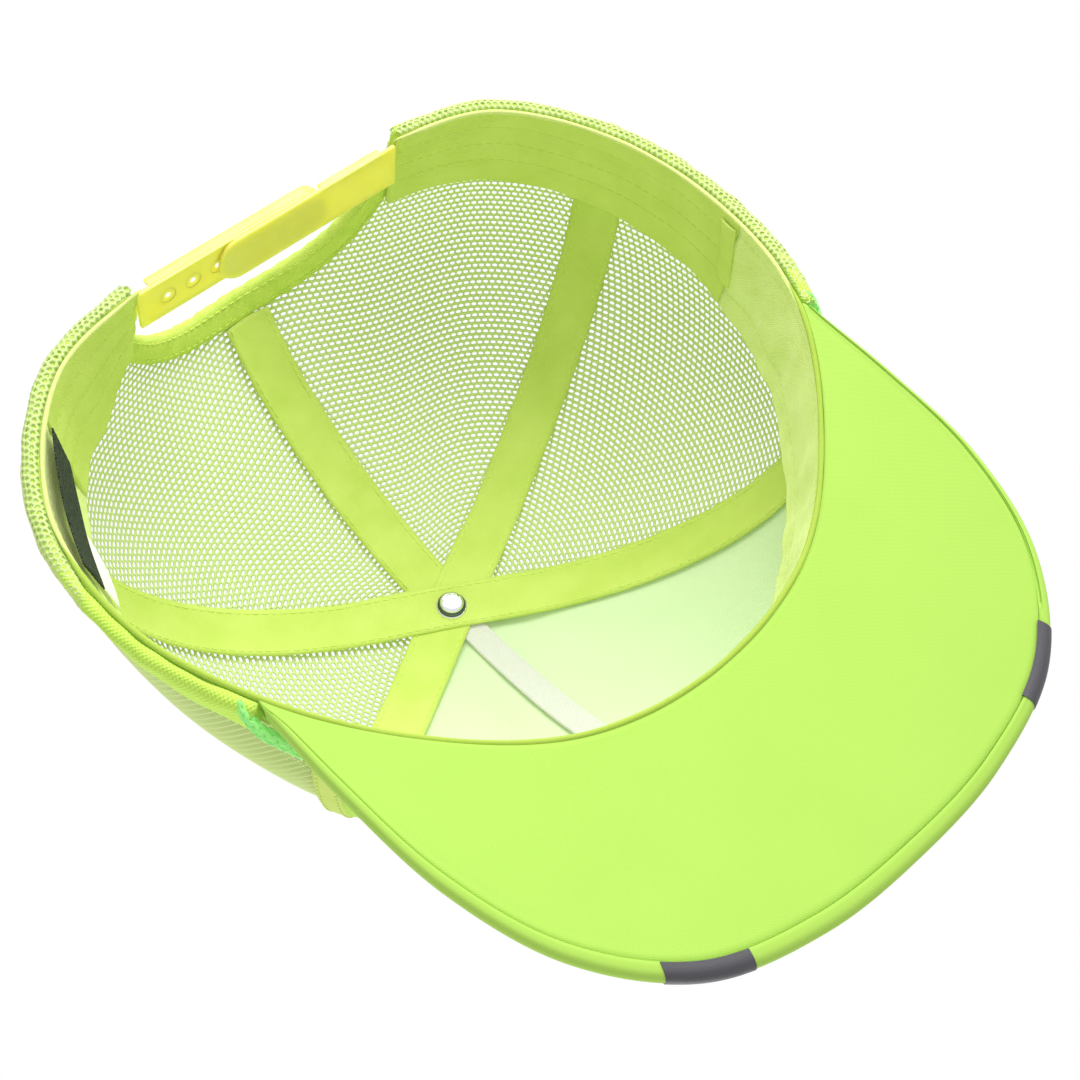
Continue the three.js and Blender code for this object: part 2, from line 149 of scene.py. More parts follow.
def crownNormal(s, turn):
    s, turn = np.broadcast_arrays(np.asarray(s, float), np.asarray(turn, float))
    low = np.clip(turn, 0.02, math.pi / 2 - 0.004)
    across = surfaceAt(s + 2e-3, low) - surfaceAt(s - 2e-3, low)
    up = surfaceAt(s, low + 2e-3) - surfaceAt(s, low - 2e-3)
    normal = unit(np.cross(across, up))
    inward = np.sum(normal * (surfaceAt(s, low) - (0, pattern["apexY"], 0)), -1) < 0
    normal[inward] *= -1
    normal[..., 2] *= smoothStep(0, 0.22, np.sin(low) ** (2 / profileAt(s)[0]))  # level at the rim
    return unit(normal)


def crownAt(s, turn, depth):
    return surfaceAt(s, turn) + crownNormal(s, turn) * np.asarray(depth, float)[..., None]


def turnAtRise(s, rise):
    foot = rimAt(s)[..., 2]
    height = np.clip(rise / (pattern["apexZ"] - foot), 0, 1)
    return np.arcsin(height ** (profileAt(s)[0] / 2))


def riseAt(s, turn):
    return (pattern["apexZ"] - rimAt(s)[..., 2]) * np.maximum(np.sin(turn), 0) ** (2 / profileAt(s)[0])


def turnAtRadius(s, radius):
    spoke = rimAt(s) - (0, pattern["apexY"], 0)
    share = radius / np.hypot(spoke[..., 0], spoke[..., 1])
    return np.arccos(np.clip(share, 0, 1) ** (profileAt(s)[1] / 2))


def roundLength(s, turn):
    return np.linalg.norm(surfaceAt(s + 2e-3, turn) - surfaceAt(s - 2e-3, turn), axis=-1) / 4e-3


# Where the cloth starts above the rim: at the rim itself, or on top of the visor where it is sewn in.
def clothRise(s):
    half = np.minimum(np.mod(s, 1), 1 - np.mod(s, 1))
    corner = pattern["visorCorner"]
    return (pattern["visorTop"] + 0.5) * smoothStep(corner - 0.016, corner - 0.002, half)


tableS = np.linspace(0, 1, 1441)
tableSpoke = rimAt(tableS) - (0, pattern["apexY"], 0)
tableAngle = np.unwrap(np.arctan2(tableSpoke[:, 0], tableSpoke[:, 1]))


# The point of the crown over (x, y), for cloth that crosses the top.
def fromTop(x, y, depth):
    angle = np.mod(np.arctan2(x, y - pattern["apexY"]) - tableAngle[0], 2 * np.pi) + tableAngle[0]
    s = np.interp(angle, tableAngle, tableS)
    radius = np.hypot(x, y - pattern["apexY"])
    low, high = np.full_like(radius, 0.5), np.full_like(radius, math.pi / 2)
    for _ in range(26):
        middle = (low + high) / 2
        point = surfaceAt(s, middle)
        tooWide = np.hypot(point[..., 0], point[..., 1] - pattern["apexY"]) > radius
        low = np.where(tooWide, middle, low)
        high = np.where(tooWide, high, middle)
    turn = (low + high) / 2
    flat = 1 - smoothStep(6, 16, radius)[..., None]
    normal = crownNormal(s, turn) * (1 - flat) + np.array([0, 0, 1.0]) * flat
    return surfaceAt(s, turn) + unit(normal) * np.asarray(depth, float)[..., None]


def ripple(u, v, seed):
    chance = np.random.default_rng(seed)
    total = 0
    for _ in range(6):
        angle, phase = chance.uniform(0, 2 * np.pi, 2)
        rate = chance.uniform(0.6, 1.7)
        total = total + np.sin(rate * (u * math.cos(angle) + v * math.sin(angle)) + phase)
    return total / 6


# A part is (points, faces, cloth): cloth holds each point's place on the flat cloth in millimetres.
def gridIds(rows, cols):
    ids = np.arange(rows * cols).reshape(rows, cols)
    return np.stack([ids[:-1, :-1], ids[:-1, 1:], ids[1:, 1:], ids[1:, :-1]], -1).reshape(-1, 4)


def sheetPart(inner, outer, cloth):
    rows, cols = inner.shape[:2]
    count = rows * cols
    ids = np.arange(count).reshape(rows, cols)
    faces = gridIds(rows, cols)
    edge = np.concatenate([ids[0, :], ids[1:, -1], ids[-1, -2::-1], ids[-2:0:-1, 0]])
    following = np.roll(edge, -1)
    wall = np.stack([edge, following, following + count, edge + count], -1)
    points = np.vstack([inner.reshape(-1, 3), outer.reshape(-1, 3)])
    flat = cloth.reshape(-1, 2)
    allFaces = [*faces[:, ::-1].tolist(), *(faces + count).tolist(), *wall.tolist()]
    return points, allFaces, np.vstack([flat, flat])


# Rings of points (n, m, 3) joined into a tube with closed ends.
def tubePart(rings, cloth=None, loop=False):
    n, m = rings.shape[:2]
    ids = np.arange(n * m).reshape(n, m)
    nextRow = np.roll(ids, -1, 0)[: n if loop else n - 1]
    here = ids[: n if loop else n - 1]
    quads = np.stack([here, np.roll(here, -1, 1), np.roll(nextRow, -1, 1), nextRow], -1)
    faces = quads.reshape(-1, 4).tolist()
    if not loop:
        faces += [ids[0, ::-1].tolist(), ids[-1].tolist()]
    if cloth is None:
        along = lengthsAlong(rings.mean(1))
        cloth = np.stack(np.broadcast_arrays(along[:, None], np.arange(m)[None] * 1.0), -1)
    return rings.reshape(-1, 3), faces, cloth.reshape(-1, 2)


def pathAt(path, lengths, places):
    return np.stack([np.interp(places, lengths, path[:, k]) for k in range(3)], -1)


# Directions along a path, beside it and above it.
def frameAlong(path):
    along = unit(np.gradient(path, axis=0))
    side = unit(np.cross(along, (0, 0, 1.0)))
    return along, side, np.cross(side, along)


# A row of sewn stitches: small lens-shaped threads lying along the path, one for each pitch.
lens = {"sides": 6, "rings": [(-1, 0.25), (-0.55, 0.9), (0, 1.1), (0.55, 0.9), (1, 0.25)]}  # (along, radius)


def stitchPart(path, normals, look):
    lengths = lengthsAlong(path)
    places = np.arange(look["pitch"] / 2, lengths[-1] - look["pitch"] / 4, look["pitch"])
    centres = pathAt(path, lengths, places)
    along = unit(pathAt(path, lengths, places + 0.2) - pathAt(path, lengths, places - 0.2))
    up = pathAt(normals, lengths, places)
    up = unit(up - np.sum(up * along, 1, keepdims=True) * along)
    side = np.cross(along, up)
    sides, rings = lens["sides"], lens["rings"]
    half, radius = look["length"] / 2, look["width"] / 2
    turns = np.arange(sides) * 2 * math.pi / sides
    shape = np.array([(k * half, share * radius * math.cos(turn), share * radius * math.sin(turn))
                      for k, share in rings for turn in turns])
    points = (centres[:, None] + shape[None, :, 0:1] * along[:, None] + shape[None, :, 1:2] * side[:, None]
              + shape[None, :, 2:3] * up[:, None])
    _, one, _ = tubePart(shape.reshape(len(rings), sides, 3))
    faces = [[i + len(shape) * n for i in face] for n in range(len(centres)) for face in one]
    return points.reshape(-1, 3), faces, np.zeros((len(centres) * len(shape), 2))


def addPiece(name, parts, material, stands=(), body="crown", sharp=None):
    points, faces, cloth, base = [], [], [], 0
    for part in parts:
        points.append(part[0])
        faces += [[i + base for i in face] for face in part[1]]
        cloth.append(part[2])
        base += len(part[0])
    mesh = bpy.data.meshes.new(name)
    mesh.from_pydata(toRow(np.vstack(points)).tolist(), [], faces)
    flat = mesh.attributes.new("clothMm", "FLOAT_VECTOR", "POINT")
    cloth = np.vstack(cloth)
    flat.data.foreach_set("vector", np.column_stack([cloth, np.zeros(len(cloth))]).astype(np.float32).ravel())
    work = bmesh.new()
    work.from_mesh(mesh)
    bmesh.ops.remove_doubles(work, verts=work.verts, dist=2e-5)
    loose = [v for v in work.verts if not v.link_faces]
    bmesh.ops.delete(work, geom=loose, context="VERTS")
    bmesh.ops.recalc_face_normals(work, faces=work.faces)
    work.to_mesh(mesh)
    work.free()
    mesh.shade_smooth()
    if sharp:
        mesh.set_sharp_from_angle(angle=math.radians(sharp))
    mesh.materials.append(material)
    piece = bpy.data.objects.new(name, mesh)
    bpy.context.scene.collection.objects.link(piece)
    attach(piece, body)
    if stands:
        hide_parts(*stands)
    return piece


def linear(colour):
    values = [int(colour[i:i + 2], 16) / 255 for i in (1, 3, 5)]
    return (*[v / 12.92 if v <= 0.04045 else ((v + 0.055) / 1.055) ** 2.4 for v in values], 1)


def addNode(tree, kind, inputs=None, **settings):
    node = tree.nodes.new(kind)
    for key, value in settings.items():
        setattr(node, key, value)
    for key, value in (inputs or {}).items():
        if isinstance(value, bpy.types.NodeSocket):
            tree.links.new(value, node.inputs[key])
        else:
            node.inputs[key].default_value = value
    return node


def newMaterial(name, look):
    material = bpy.data.materials.new(name)
    material.use_nodes = True
    shader = material.node_tree.nodes["Principled BSDF"]
    shader.inputs["Base Color"].default_value = linear(look["colour"])
    shader.inputs["Roughness"].default_value = look.get("roughness", 0.85)
    shader.inputs["Metallic"].default_value = look.get("metallic", 0)
    shader.inputs["Sheen Weight"].default_value = look.get("sheen", 0)
    shader.inputs["Sheen Roughness"].default_value = 0.5
    shader.inputs["Specular IOR Level"].default_value = look.get("specular", 0.3)
    # Emission in the cloth's own colour: a painted glow that lifts it where the crown is in shade.
    shader.inputs["Emission Color"].default_value = linear(look["colour"])
    shader.inputs["Emission Strength"].default_value = look.get("paintedGlow", 0)
    return material, material.node_tree, shader


# Cloth: warp and weft as two crossing waves, fuzz as fine noise, and a slow drift of the colour: uneven dye,
# and on the seam tape painted sheen as well.
def clothMaterial(name, look):
    material, tree, shader = newMaterial(name, look)
    cloth = addNode(tree, "ShaderNodeAttribute", attribute_name="clothMm")
    rate = 2 * math.pi / look["thread"]
    rates = (rate, rate * look.get("weftRate", 1), 0)
    turned = addNode(tree, "ShaderNodeVectorMath", {
        0: cloth.outputs["Vector"], 1: rates}, operation="MULTIPLY")
    parts = addNode(tree, "ShaderNodeSeparateXYZ", {0: turned.outputs[0]})
    slant = addNode(tree, "ShaderNodeMath", {
        0: parts.outputs["Y"], 1: look.get("slant", 0), 2: parts.outputs["X"]}, operation="MULTIPLY_ADD")
    warp = addNode(tree, "ShaderNodeMath", {0: slant.outputs[0]}, operation="SINE")
    weft = addNode(tree, "ShaderNodeMath", {0: parts.outputs["Y"]}, operation="SINE")
    weave = warp
    if not look.get("rib"):
        weave = addNode(tree, "ShaderNodeMath", {
            0: warp.outputs[0], 1: weft.outputs[0]}, operation="MULTIPLY")
    fuzz = addNode(tree, "ShaderNodeTexNoise", {
        "Vector": cloth.outputs["Vector"], "Scale": 0.8 / look["thread"], "Detail": 3.0, "Roughness": 0.6})
    drift = addNode(tree, "ShaderNodeTexNoise", {
        "Vector": cloth.outputs["Vector"], "Scale": look.get("driftScale", 0.04), "Detail": 2.0})
    first = addNode(tree, "ShaderNodeMath", {
        0: weave.outputs[0], 1: look["contrast"], 2: 0.62}, operation="MULTIPLY_ADD")
    fuzzy = addNode(tree, "ShaderNodeMath", {
        0: fuzz.outputs["Fac"], 1: look.get("fuzz", 0.3), 2: first.outputs[0]}, operation="MULTIPLY_ADD")
    mottled = addNode(tree, "ShaderNodeMath", {
        0: drift.outputs["Fac"], 1: look.get("drift", 0.5), 2: fuzzy.outputs[0]}, operation="MULTIPLY_ADD")
    offset = look.get("fuzz", 0.3) / 2 + look.get("drift", 0.5) / 2
    level = addNode(tree, "ShaderNodeMath", {
        0: mottled.outputs[0], 1: offset}, operation="SUBTRACT", use_clamp=True)
    colour = addNode(tree, "ShaderNodeMix", {
        0: level.outputs[0], 6: linear(look["deep"]), 7: linear(look["colour"])}, data_type="RGBA")
    tree.links.new(colour.outputs[2], shader.inputs["Base Color"])
    tree.links.new(colour.outputs[2], shader.inputs["Emission Color"])
    height = addNode(tree, "ShaderNodeMath", {
        0: fuzz.outputs["Fac"], 1: look.get("fuzzHeight", 0.8), 2: weave.outputs[0]},
        operation="MULTIPLY_ADD")
    bump = addNode(tree, "ShaderNodeBump", {
        "Strength": look["bump"], "Distance": look["thread"] / 5000, "Height": height.outputs[0]})
    tree.links.new(bump.outputs["Normal"], shader.inputs["Normal"])
    return material


# The glow setting is painted light: an emission that brightens the cloth where the crown is in shade. It
# stands partly for the fluorescent dye's own brightness and partly for light, and the undyed white pieces
# carry it too.
# Plain-woven polyester on the visor: smooth, even, faintly grained. Its 0.25 mm threads are drawn
# at 0.5 mm, and the other fine weaves likewise, so that they show.
visorCloth = clothMaterial("plain-woven_polyester_fluorescent", {
    "colour": "#afd85e", "deep": "#a3cc51", "thread": 0.5, "contrast": 0.2, "fuzz": 0.3, "drift": 0.4,
    "bump": 0.22, "roughness": 0.85, "paintedGlow": 0.04})
# The same cloth on the front panels, seen outside: a little deeper and grainier.
panelCloth = clothMaterial("plain-woven_polyester_panel", {
    "colour": "#bcea56", "deep": "#a6d444", "thread": 0.55, "contrast": 0.25, "bump": 0.3, "paintedGlow": 0.04})
# Warp-knitted polyester mesh: pale fluorescent yarn, soft edged, slightly glossy filaments.
meshYarn = clothMaterial("warp-knitted_polyester_mesh", {
    "colour": "#cede98", "deep": "#bcd674", "thread": 0.3, "contrast": 0.2, "fuzz": 0.4, "bump": 0.3,
    "roughness": 0.7, "paintedGlow": 0.12})
# The mesh rolled into a hem: several layers, so its hollows look deeper green.
hemBase = clothMaterial("folded_mesh_hem", {
    "colour": "#cdf068", "deep": "#a8d63c", "thread": 1.1, "contrast": 0.4, "fuzz": 0.6, "bump": 0.6,
    "weftRate": 0.8, "paintedGlow": 0.12})
# Woven seam tape: matt, with a fine cross rib. Its broad mottle between the darker and the lighter green is
# painted sheen: lit and shaded patches painted into the colour.
tapeCloth = clothMaterial("woven_polyester_tape", {
    "colour": "#d0e377", "deep": "#b9d254", "thread": 0.55, "weftRate": 1.4, "contrast": 0.1, "fuzz": 0.35,
    "drift": 1.1, "driftScale": 0.09, "bump": 0.3, "paintedGlow": 0.05})
# Binding cut from the same cloth as the tape, folded round the arch's edge.
bindingCloth = clothMaterial("folded_cotton_binding", {
    "colour": "#d4e870", "deep": "#aed048", "thread": 0.7, "contrast": 0.25, "fuzz": 0.9, "drift": 1.0,
    "driftScale": 0.25, "bump": 0.5, "paintedGlow": 0.05})
# Cotton twill sweatband: matt, a diagonal line in the weave.
bandCloth = clothMaterial("cotton_twill_sweatband", {
    "colour": "#cde174", "deep": "#b7ce55", "thread": 0.7, "slant": 0.9, "rib": True, "contrast": 0.06,
    "fuzz": 0.4, "drift": 1.0, "driftScale": 0.08, "bump": 0.2, "paintedGlow": 0.08})
# Brushed cotton of the front band: paler, napped, so its highlights are soft.
brushedCloth = clothMaterial("brushed_cotton_sweatband", {
    "colour": "#dded95", "deep": "#c6db6c", "thread": 0.7, "contrast": 0.1, "fuzz": 0.7, "drift": 1.3,
    "driftScale": 0.12, "bump": 0.4, "sheen": 0.2, "paintedGlow": 0.1})
# Rolled raw edge under the band, dyed like the shell but in shadow and denser.
edgeCloth = clothMaterial("rolled_seam_edge", {
    "colour": "#bcd85a", "deep": "#a0c040", "thread": 0.6, "contrast": 0.3, "fuzz": 0.5, "bump": 0.5,
    "paintedGlow": 0.03})
# The same edge at the sides, where it is lit and looks pale.
paleEdge = clothMaterial("folded_band_edge", {
    "colour": "#e8f4a0", "deep": "#d6e87c", "thread": 0.6, "contrast": 0.3, "fuzz": 0.5, "bump": 0.5,
    "paintedGlow": 0.1})
# White non-woven backing fused to the panel, which tints it green.
backingCloth = clothMaterial("fused_nonwoven_backing", {
    "colour": "#d6e9be", "deep": "#c9e0ae", "thread": 0.6, "contrast": 0.08, "fuzz": 0.4, "drift": 0.6,
    "bump": 0.25, "roughness": 0.9, "paintedGlow": 0.1})
# Loose white non-woven strip over the front seam: soft, matt, undyed.
stripCloth = clothMaterial("white_nonwoven_strip", {
    "colour": "#d8d8d2", "deep": "#c8c8c2", "thread": 0.7, "contrast": 0.12, "fuzz": 0.6, "bump": 0.35,
    "roughness": 0.9, "paintedGlow": 0.12})
# Braided polyester cord: bright mint, filaments run along each strand.
ropeCloth = clothMaterial("braided_polyester_cord", {
    "colour": "#a8f088", "deep": "#7ede70", "thread": 0.45, "rib": True, "contrast": 0.3, "bump": 0.4,
    "roughness": 0.6, "paintedGlow": 0.2})
# Retro-reflective tape: dark grey glass-bead face with a fine grid.
reflectCloth = clothMaterial("glass_bead_reflective_tape", {
    "colour": "#454349", "deep": "#343238", "thread": 0.6, "contrast": 0.3, "bump": 0.3, "roughness": 0.42,
    "specular": 0.6})
# Damask-woven label, left blank: near-black green ground with a broken lighter weft.
labelCloth = clothMaterial("damask_woven_label", {
    "colour": "#445040", "deep": "#080c08", "thread": 1.0, "weftRate": 2.4, "contrast": 0.3, "fuzz": 2.2,
    "drift": 0.3, "driftScale": 0.4, "bump": 0.5, "roughness": 0.8, "specular": 0.15})
# Satin ribbon care label, blank.
satinCloth = clothMaterial("satin_ribbon", {
    "colour": "#f8f8f4", "deep": "#ecefe8", "thread": 0.4, "rib": True, "contrast": 0.2, "bump": 0.15,
    "roughness": 0.5, "specular": 0.5, "paintedGlow": 0.15})
# Sewing thread in three dyes: tight twist, slight shine.
threadCloth = clothMaterial("spun_polyester_thread", {
    "colour": "#d6e880", "deep": "#c4da68", "thread": 0.4, "contrast": 0.2, "bump": 0.2, "roughness": 0.6,
    "paintedGlow": 0.05})
deepThread = clothMaterial("spun_thread_deep_green", {
    "colour": "#cce06c", "deep": "#b8d058", "thread": 0.4, "contrast": 0.2, "bump": 0.2, "roughness": 0.6,
    "paintedGlow": 0.05})
greyThread = clothMaterial("grey_thread", {
    "colour": "#b4b2b8", "deep": "#98969c", "thread": 0.4, "contrast": 0.2, "bump": 0.2, "roughness": 0.6})


# Injection-moulded soft polyethylene: translucent yellow, satin skin with faint flow marks.
def strapMaterial():
    look = {"colour": "#f2ea48", "roughness": 0.32, "specular": 0.5}
    material, tree, shader = newMaterial("moulded_translucent_polyethylene", look)
    shader.inputs["IOR"].default_value = 1.5
    shader.inputs["Subsurface Weight"].default_value = 0.6
    shader.inputs["Subsurface Radius"].default_value = (0.004, 0.0035, 0.0008)
    shader.inputs["Subsurface Scale"].default_value = 1.0
    place = addNode(tree, "ShaderNodeTexCoord")
    flow = addNode(tree, "ShaderNodeTexNoise", {
        "Vector": place.outputs["Object"], "Scale": 90.0, "Detail": 3.0, "Distortion": 1.0})
    colour = addNode(tree, "ShaderNodeMix", {
        0: flow.outputs["Fac"], 6: linear("#f2e44c"), 7: linear("#fcf67c")}, data_type="RGBA")
    tree.links.new(colour.outputs[2], shader.inputs["Base Color"])
    bump = addNode(tree, "ShaderNodeBump", {
        "Strength": 0.12, "Distance": 0.0002, "Height": flow.outputs["Fac"]})
    tree.links.new(bump.outputs["Normal"], shader.inputs["Normal"])
    return material


# Nickel-plated steel, polished: mirror bright, with hairline turning marks round the flange.
def nickelMaterial(name, colour, roughness):
    material, tree, shader = newMaterial(name, {"colour": colour, "roughness": roughness, "metallic": 1,
                                                "specular": 0.5})
    place = addNode(tree, "ShaderNodeTexCoord")
    marks = addNode(tree, "ShaderNodeTexNoise", {
        "Vector": place.outputs["Object"], "Scale": 900.0, "Detail": 2.0})
    rough = addNode(tree, "ShaderNodeMapRange", {
        "Value": marks.outputs["Fac"], "To Min": roughness * 0.7, "To Max": roughness * 1.5})
    tree.links.new(rough.outputs["Result"], shader.inputs["Roughness"])
    return material


# Moulded board inside the visor: matt off-white polyethylene, fine moulding grain.
def boardMaterial():
    look = {"colour": "#e6e6dc", "roughness": 0.6}
    material, tree, shader = newMaterial("moulded_polyethylene_board", look)
    place = addNode(tree, "ShaderNodeTexCoord")
    grain = addNode(tree, "ShaderNodeTexNoise", {"Vector": place.outputs["Object"], "Scale": 1500.0})
    bump = addNode(tree, "ShaderNodeBump", {
        "Strength": 0.2, "Distance": 0.0001, "Height": grain.outputs["Fac"]})
    tree.links.new(bump.outputs["Normal"], shader.inputs["Normal"])
    return material


strapPlastic = strapMaterial()
polishedNickel = nickelMaterial("polished_nickel_plate", "#e4e6ea", 0.08)
# The ring groove under the rivet cap gets a darker, rougher nickel than the cap: painted shade in that
# recess.
darkNickel = nickelMaterial("nickel_groove_painted_shade", "#5c6470", 0.2)
visorPlastic = boardMaterial()
print("materials ready")

# Camera below and behind the right of the visor, looking up into the crown.
view = {
    "place": (182.2, -198.6, -351.2),
    "forward": (-0.4063, 0.3506, 0.8438),
    "up": (-0.5453, 0.648, -0.5318),
    "lens": 60.67,
    "sensor": 36,
}


def addCamera():
    camera = bpy.data.objects.new("camera", bpy.data.cameras.new("camera"))
    camera.data.lens = view["lens"]
    camera.data.sensor_width = view["sensor"]
    camera.data.clip_start = 0.01
    back = -Vector(view["forward"]).normalized()
    right = Vector(view["up"]).cross(back).normalized()
    above = back.cross(right)
    turn = Matrix((right, above, back)).transposed().to_4x4()
    camera.matrix_world = Matrix.Translation(Vector(toRow(view["place"]))) @ turn
    bpy.context.scene.collection.objects.link(camera)
    bpy.context.scene.camera = camera


addCamera()

studio = {
    "ambient": 0.7,
    "ambientColour": "#ffffff",
    "floorColour": "#f6f6f4",
    "floorHalf": 0.6,
    "floorDrop": 4e-4,
    "floorFade": (0.18, 0.42),
    "lamps": [  # place in metres from the cap, size, watts
        ((-0.45, 0.45, -0.75), 0.8, 12.0),
        ((0.5, -0.5, 1.0), 1.0, 6.5),
        ((-0.6, 0.9, 0.7), 0.9, 3.5),
    ],
}


def addStudio():
    scene = bpy.context.scene
    scene.view_settings.view_transform = "Standard"
    world = bpy.data.worlds.new("studio")
    scene.world = world
    world.use_nodes = True
    tree = world.node_tree
    tree.nodes.clear()
    path = addNode(tree, "ShaderNodeLightPath")
    shiny = addNode(tree, "ShaderNodeMath", {
        0: path.outputs["Is Glossy Ray"], 1: path.outputs["Is Transmission Ray"]}, operation="MAXIMUM")
    seen = addNode(tree, "ShaderNodeMath", {
        0: path.outputs["Is Camera Ray"], 1: shiny.outputs[0]}, operation="MAXIMUM")
    soft = addNode(tree, "ShaderNodeBackground", {
        "Color": linear(studio["ambientColour"]), "Strength": studio["ambient"]})
    white = addNode(tree, "ShaderNodeBackground", {"Color": (1, 1, 1, 1), "Strength": 1.0})
    both = addNode(tree, "ShaderNodeMixShader", {0: seen.outputs[0], 1: soft.outputs[0], 2: white.outputs[0]})
    addNode(tree, "ShaderNodeOutputWorld", {0: both.outputs[0]})
    centre = Vector(toRow((0, -20, 40)))
    for index, (place, size, watts) in enumerate(studio["lamps"]):
        lamp = bpy.data.objects.new(f"lamp_{index}", bpy.data.lights.new(f"lamp_{index}", "AREA"))
        lamp.data.energy = watts
        lamp.data.size = size
        lamp.location = centre + Vector(place)
        lamp.rotation_euler = (-Vector(place)).to_track_quat("-Z", "Y").to_euler()
        scene.collection.objects.link(lamp)


# The floor is seen only from above, so that a look from below goes through it.
def addFloor():
    mesh = bpy.data.meshes.new("floor")
    half = studio["floorHalf"]
    corners = [(x * half, y * half, -studio["floorDrop"]) for x, y in ((-1, -1), (1, -1), (1, 1), (-1, 1))]
    mesh.from_pydata(corners, [], [(0, 1, 2, 3)])
    floor = bpy.data.objects.new("floor", mesh)
    bpy.context.scene.collection.objects.link(floor)
    material = bpy.data.materials.new("pale_paper_floor")
    material.use_nodes = True
    tree = material.node_tree
    tree.nodes.clear()
    path = addNode(tree, "ShaderNodeLightPath")
    side = addNode(tree, "ShaderNodeNewGeometry")
    front = addNode(tree, "ShaderNodeMath", {0: 1.0, 1: side.outputs["Backfacing"]}, operation="SUBTRACT")
    place = addNode(tree, "ShaderNodeTexCoord")
    distance = addNode(tree, "ShaderNodeVectorMath", {0: place.outputs["Object"]}, operation="LENGTH")
    near, far = studio["floorFade"]
    fade = addNode(tree, "ShaderNodeMapRange", {
        "Value": distance.outputs["Value"], "From Min": near, "From Max": far, "To Min": 1.0, "To Max": 0.0},
        interpolation_type="SMOOTHSTEP")
    facing = addNode(tree, "ShaderNodeMath", {
        0: path.outputs["Is Camera Ray"], 1: front.outputs[0]}, operation="MULTIPLY")
    shown = addNode(tree, "ShaderNodeMath", {0: facing.outputs[0], 1: fade.outputs[0]}, operation="MULTIPLY")
    paper = addNode(tree, "ShaderNodeBsdfDiffuse", {"Color": linear(studio["floorColour"])})
    clear = addNode(tree, "ShaderNodeBsdfTransparent")
    both = addNode(tree, "ShaderNodeMixShader", {
        0: shown.outputs[0], 1: clear.outputs[0], 2: paper.outputs[0]})
    addNode(tree, "ShaderNodeOutputMaterial", {0: both.outputs[0]})
    mesh.materials.append(material)


addStudio()
addFloor()
print("studio ready")

# Knitted mesh: brick-staggered holes, in millimetres. Yarn is half the thickness each way.
knit = {"across": 2.0, "along": 1.6, "holeAcross": 0.71, "holeAlong": 0.45, "zigzag": 0.11,
        "yarn": 0.24, "depth": 3.0, "archGrow": 3.4}


# A lattice of staggered holes. place(x, y, offset) lays it out, keep(x, y) says which holes there are.
def latticePart(columns, rows, cell, keep, place):
    across, along = cell["across"], cell["along"]
    halfColumns = 2 * columns + 2
    m, j = np.meshgrid(np.arange(-1, halfColumns), np.arange(rows + 1), indexing="ij")
    raised = np.where((m + j) % 2 == 1, 1, -1) * cell["zigzag"] * along
    nodeX = (m - columns) * across / 2
    nodeY = (j - 0.5) * along + raised
    i, r = (a.ravel() for a in np.meshgrid(np.arange(columns + 1), np.arange(rows), indexing="ij"))
    middle = 2 * i + r % 2
    centreX = (middle - columns) * across / 2
    centreY = r * along
    kept = keep(centreX, centreY) & (middle + 1 < halfColumns)
    middle, r, centreX, centreY = middle[kept], r[kept], centreX[kept], centreY[kept]
    corners = [(-1, 0), (0, 0), (1, 0), (1, 1), (0, 1), (-1, 1)]
    nodeIds = np.stack([(middle + dm + 1) * (rows + 1) + r + dj for dm, dj in corners], -1)
    used, inverse = np.unique(nodeIds, return_inverse=True)
    nodeIds = inverse.reshape(nodeIds.shape)
    x, y = nodeX.ravel()[used], nodeY.ravel()[used]
    ringX = centreX[:, None] + (x[nodeIds] - centreX[:, None]) * cell["holeAcross"]
    ringY = centreY[:, None] + (y[nodeIds] - centreY[:, None]) * cell["holeAlong"]
    count = len(used)
    points = np.vstack([place(x, y, cell["yarn"]), place(x, y, -cell["yarn"]),
                        place(ringX.ravel(), ringY.ravel(), 0.0)])
    ringIds = 2 * count + np.arange(ringX.size).reshape(ringX.shape)
    following = np.roll(nodeIds, -1, 1)
    ringNext = np.roll(ringIds, -1, 1)
    upper = np.stack([nodeIds, following, ringNext, ringIds], -1).reshape(-1, 4)
    lower = np.stack([following + count, nodeIds + count, ringIds, ringNext], -1).reshape(-1, 4)
    cloth = np.vstack([np.column_stack([x, y]), np.column_stack([x, y]),
                       np.column_stack([ringX.ravel(), ringY.ravel()])])
    return points, [*upper.tolist(), *lower.tolist()], cloth


def rimShift(s):
    return np.where(np.mod(s, 1) > 0.5, np.mod(s, 1) - 1, np.mod(s, 1))


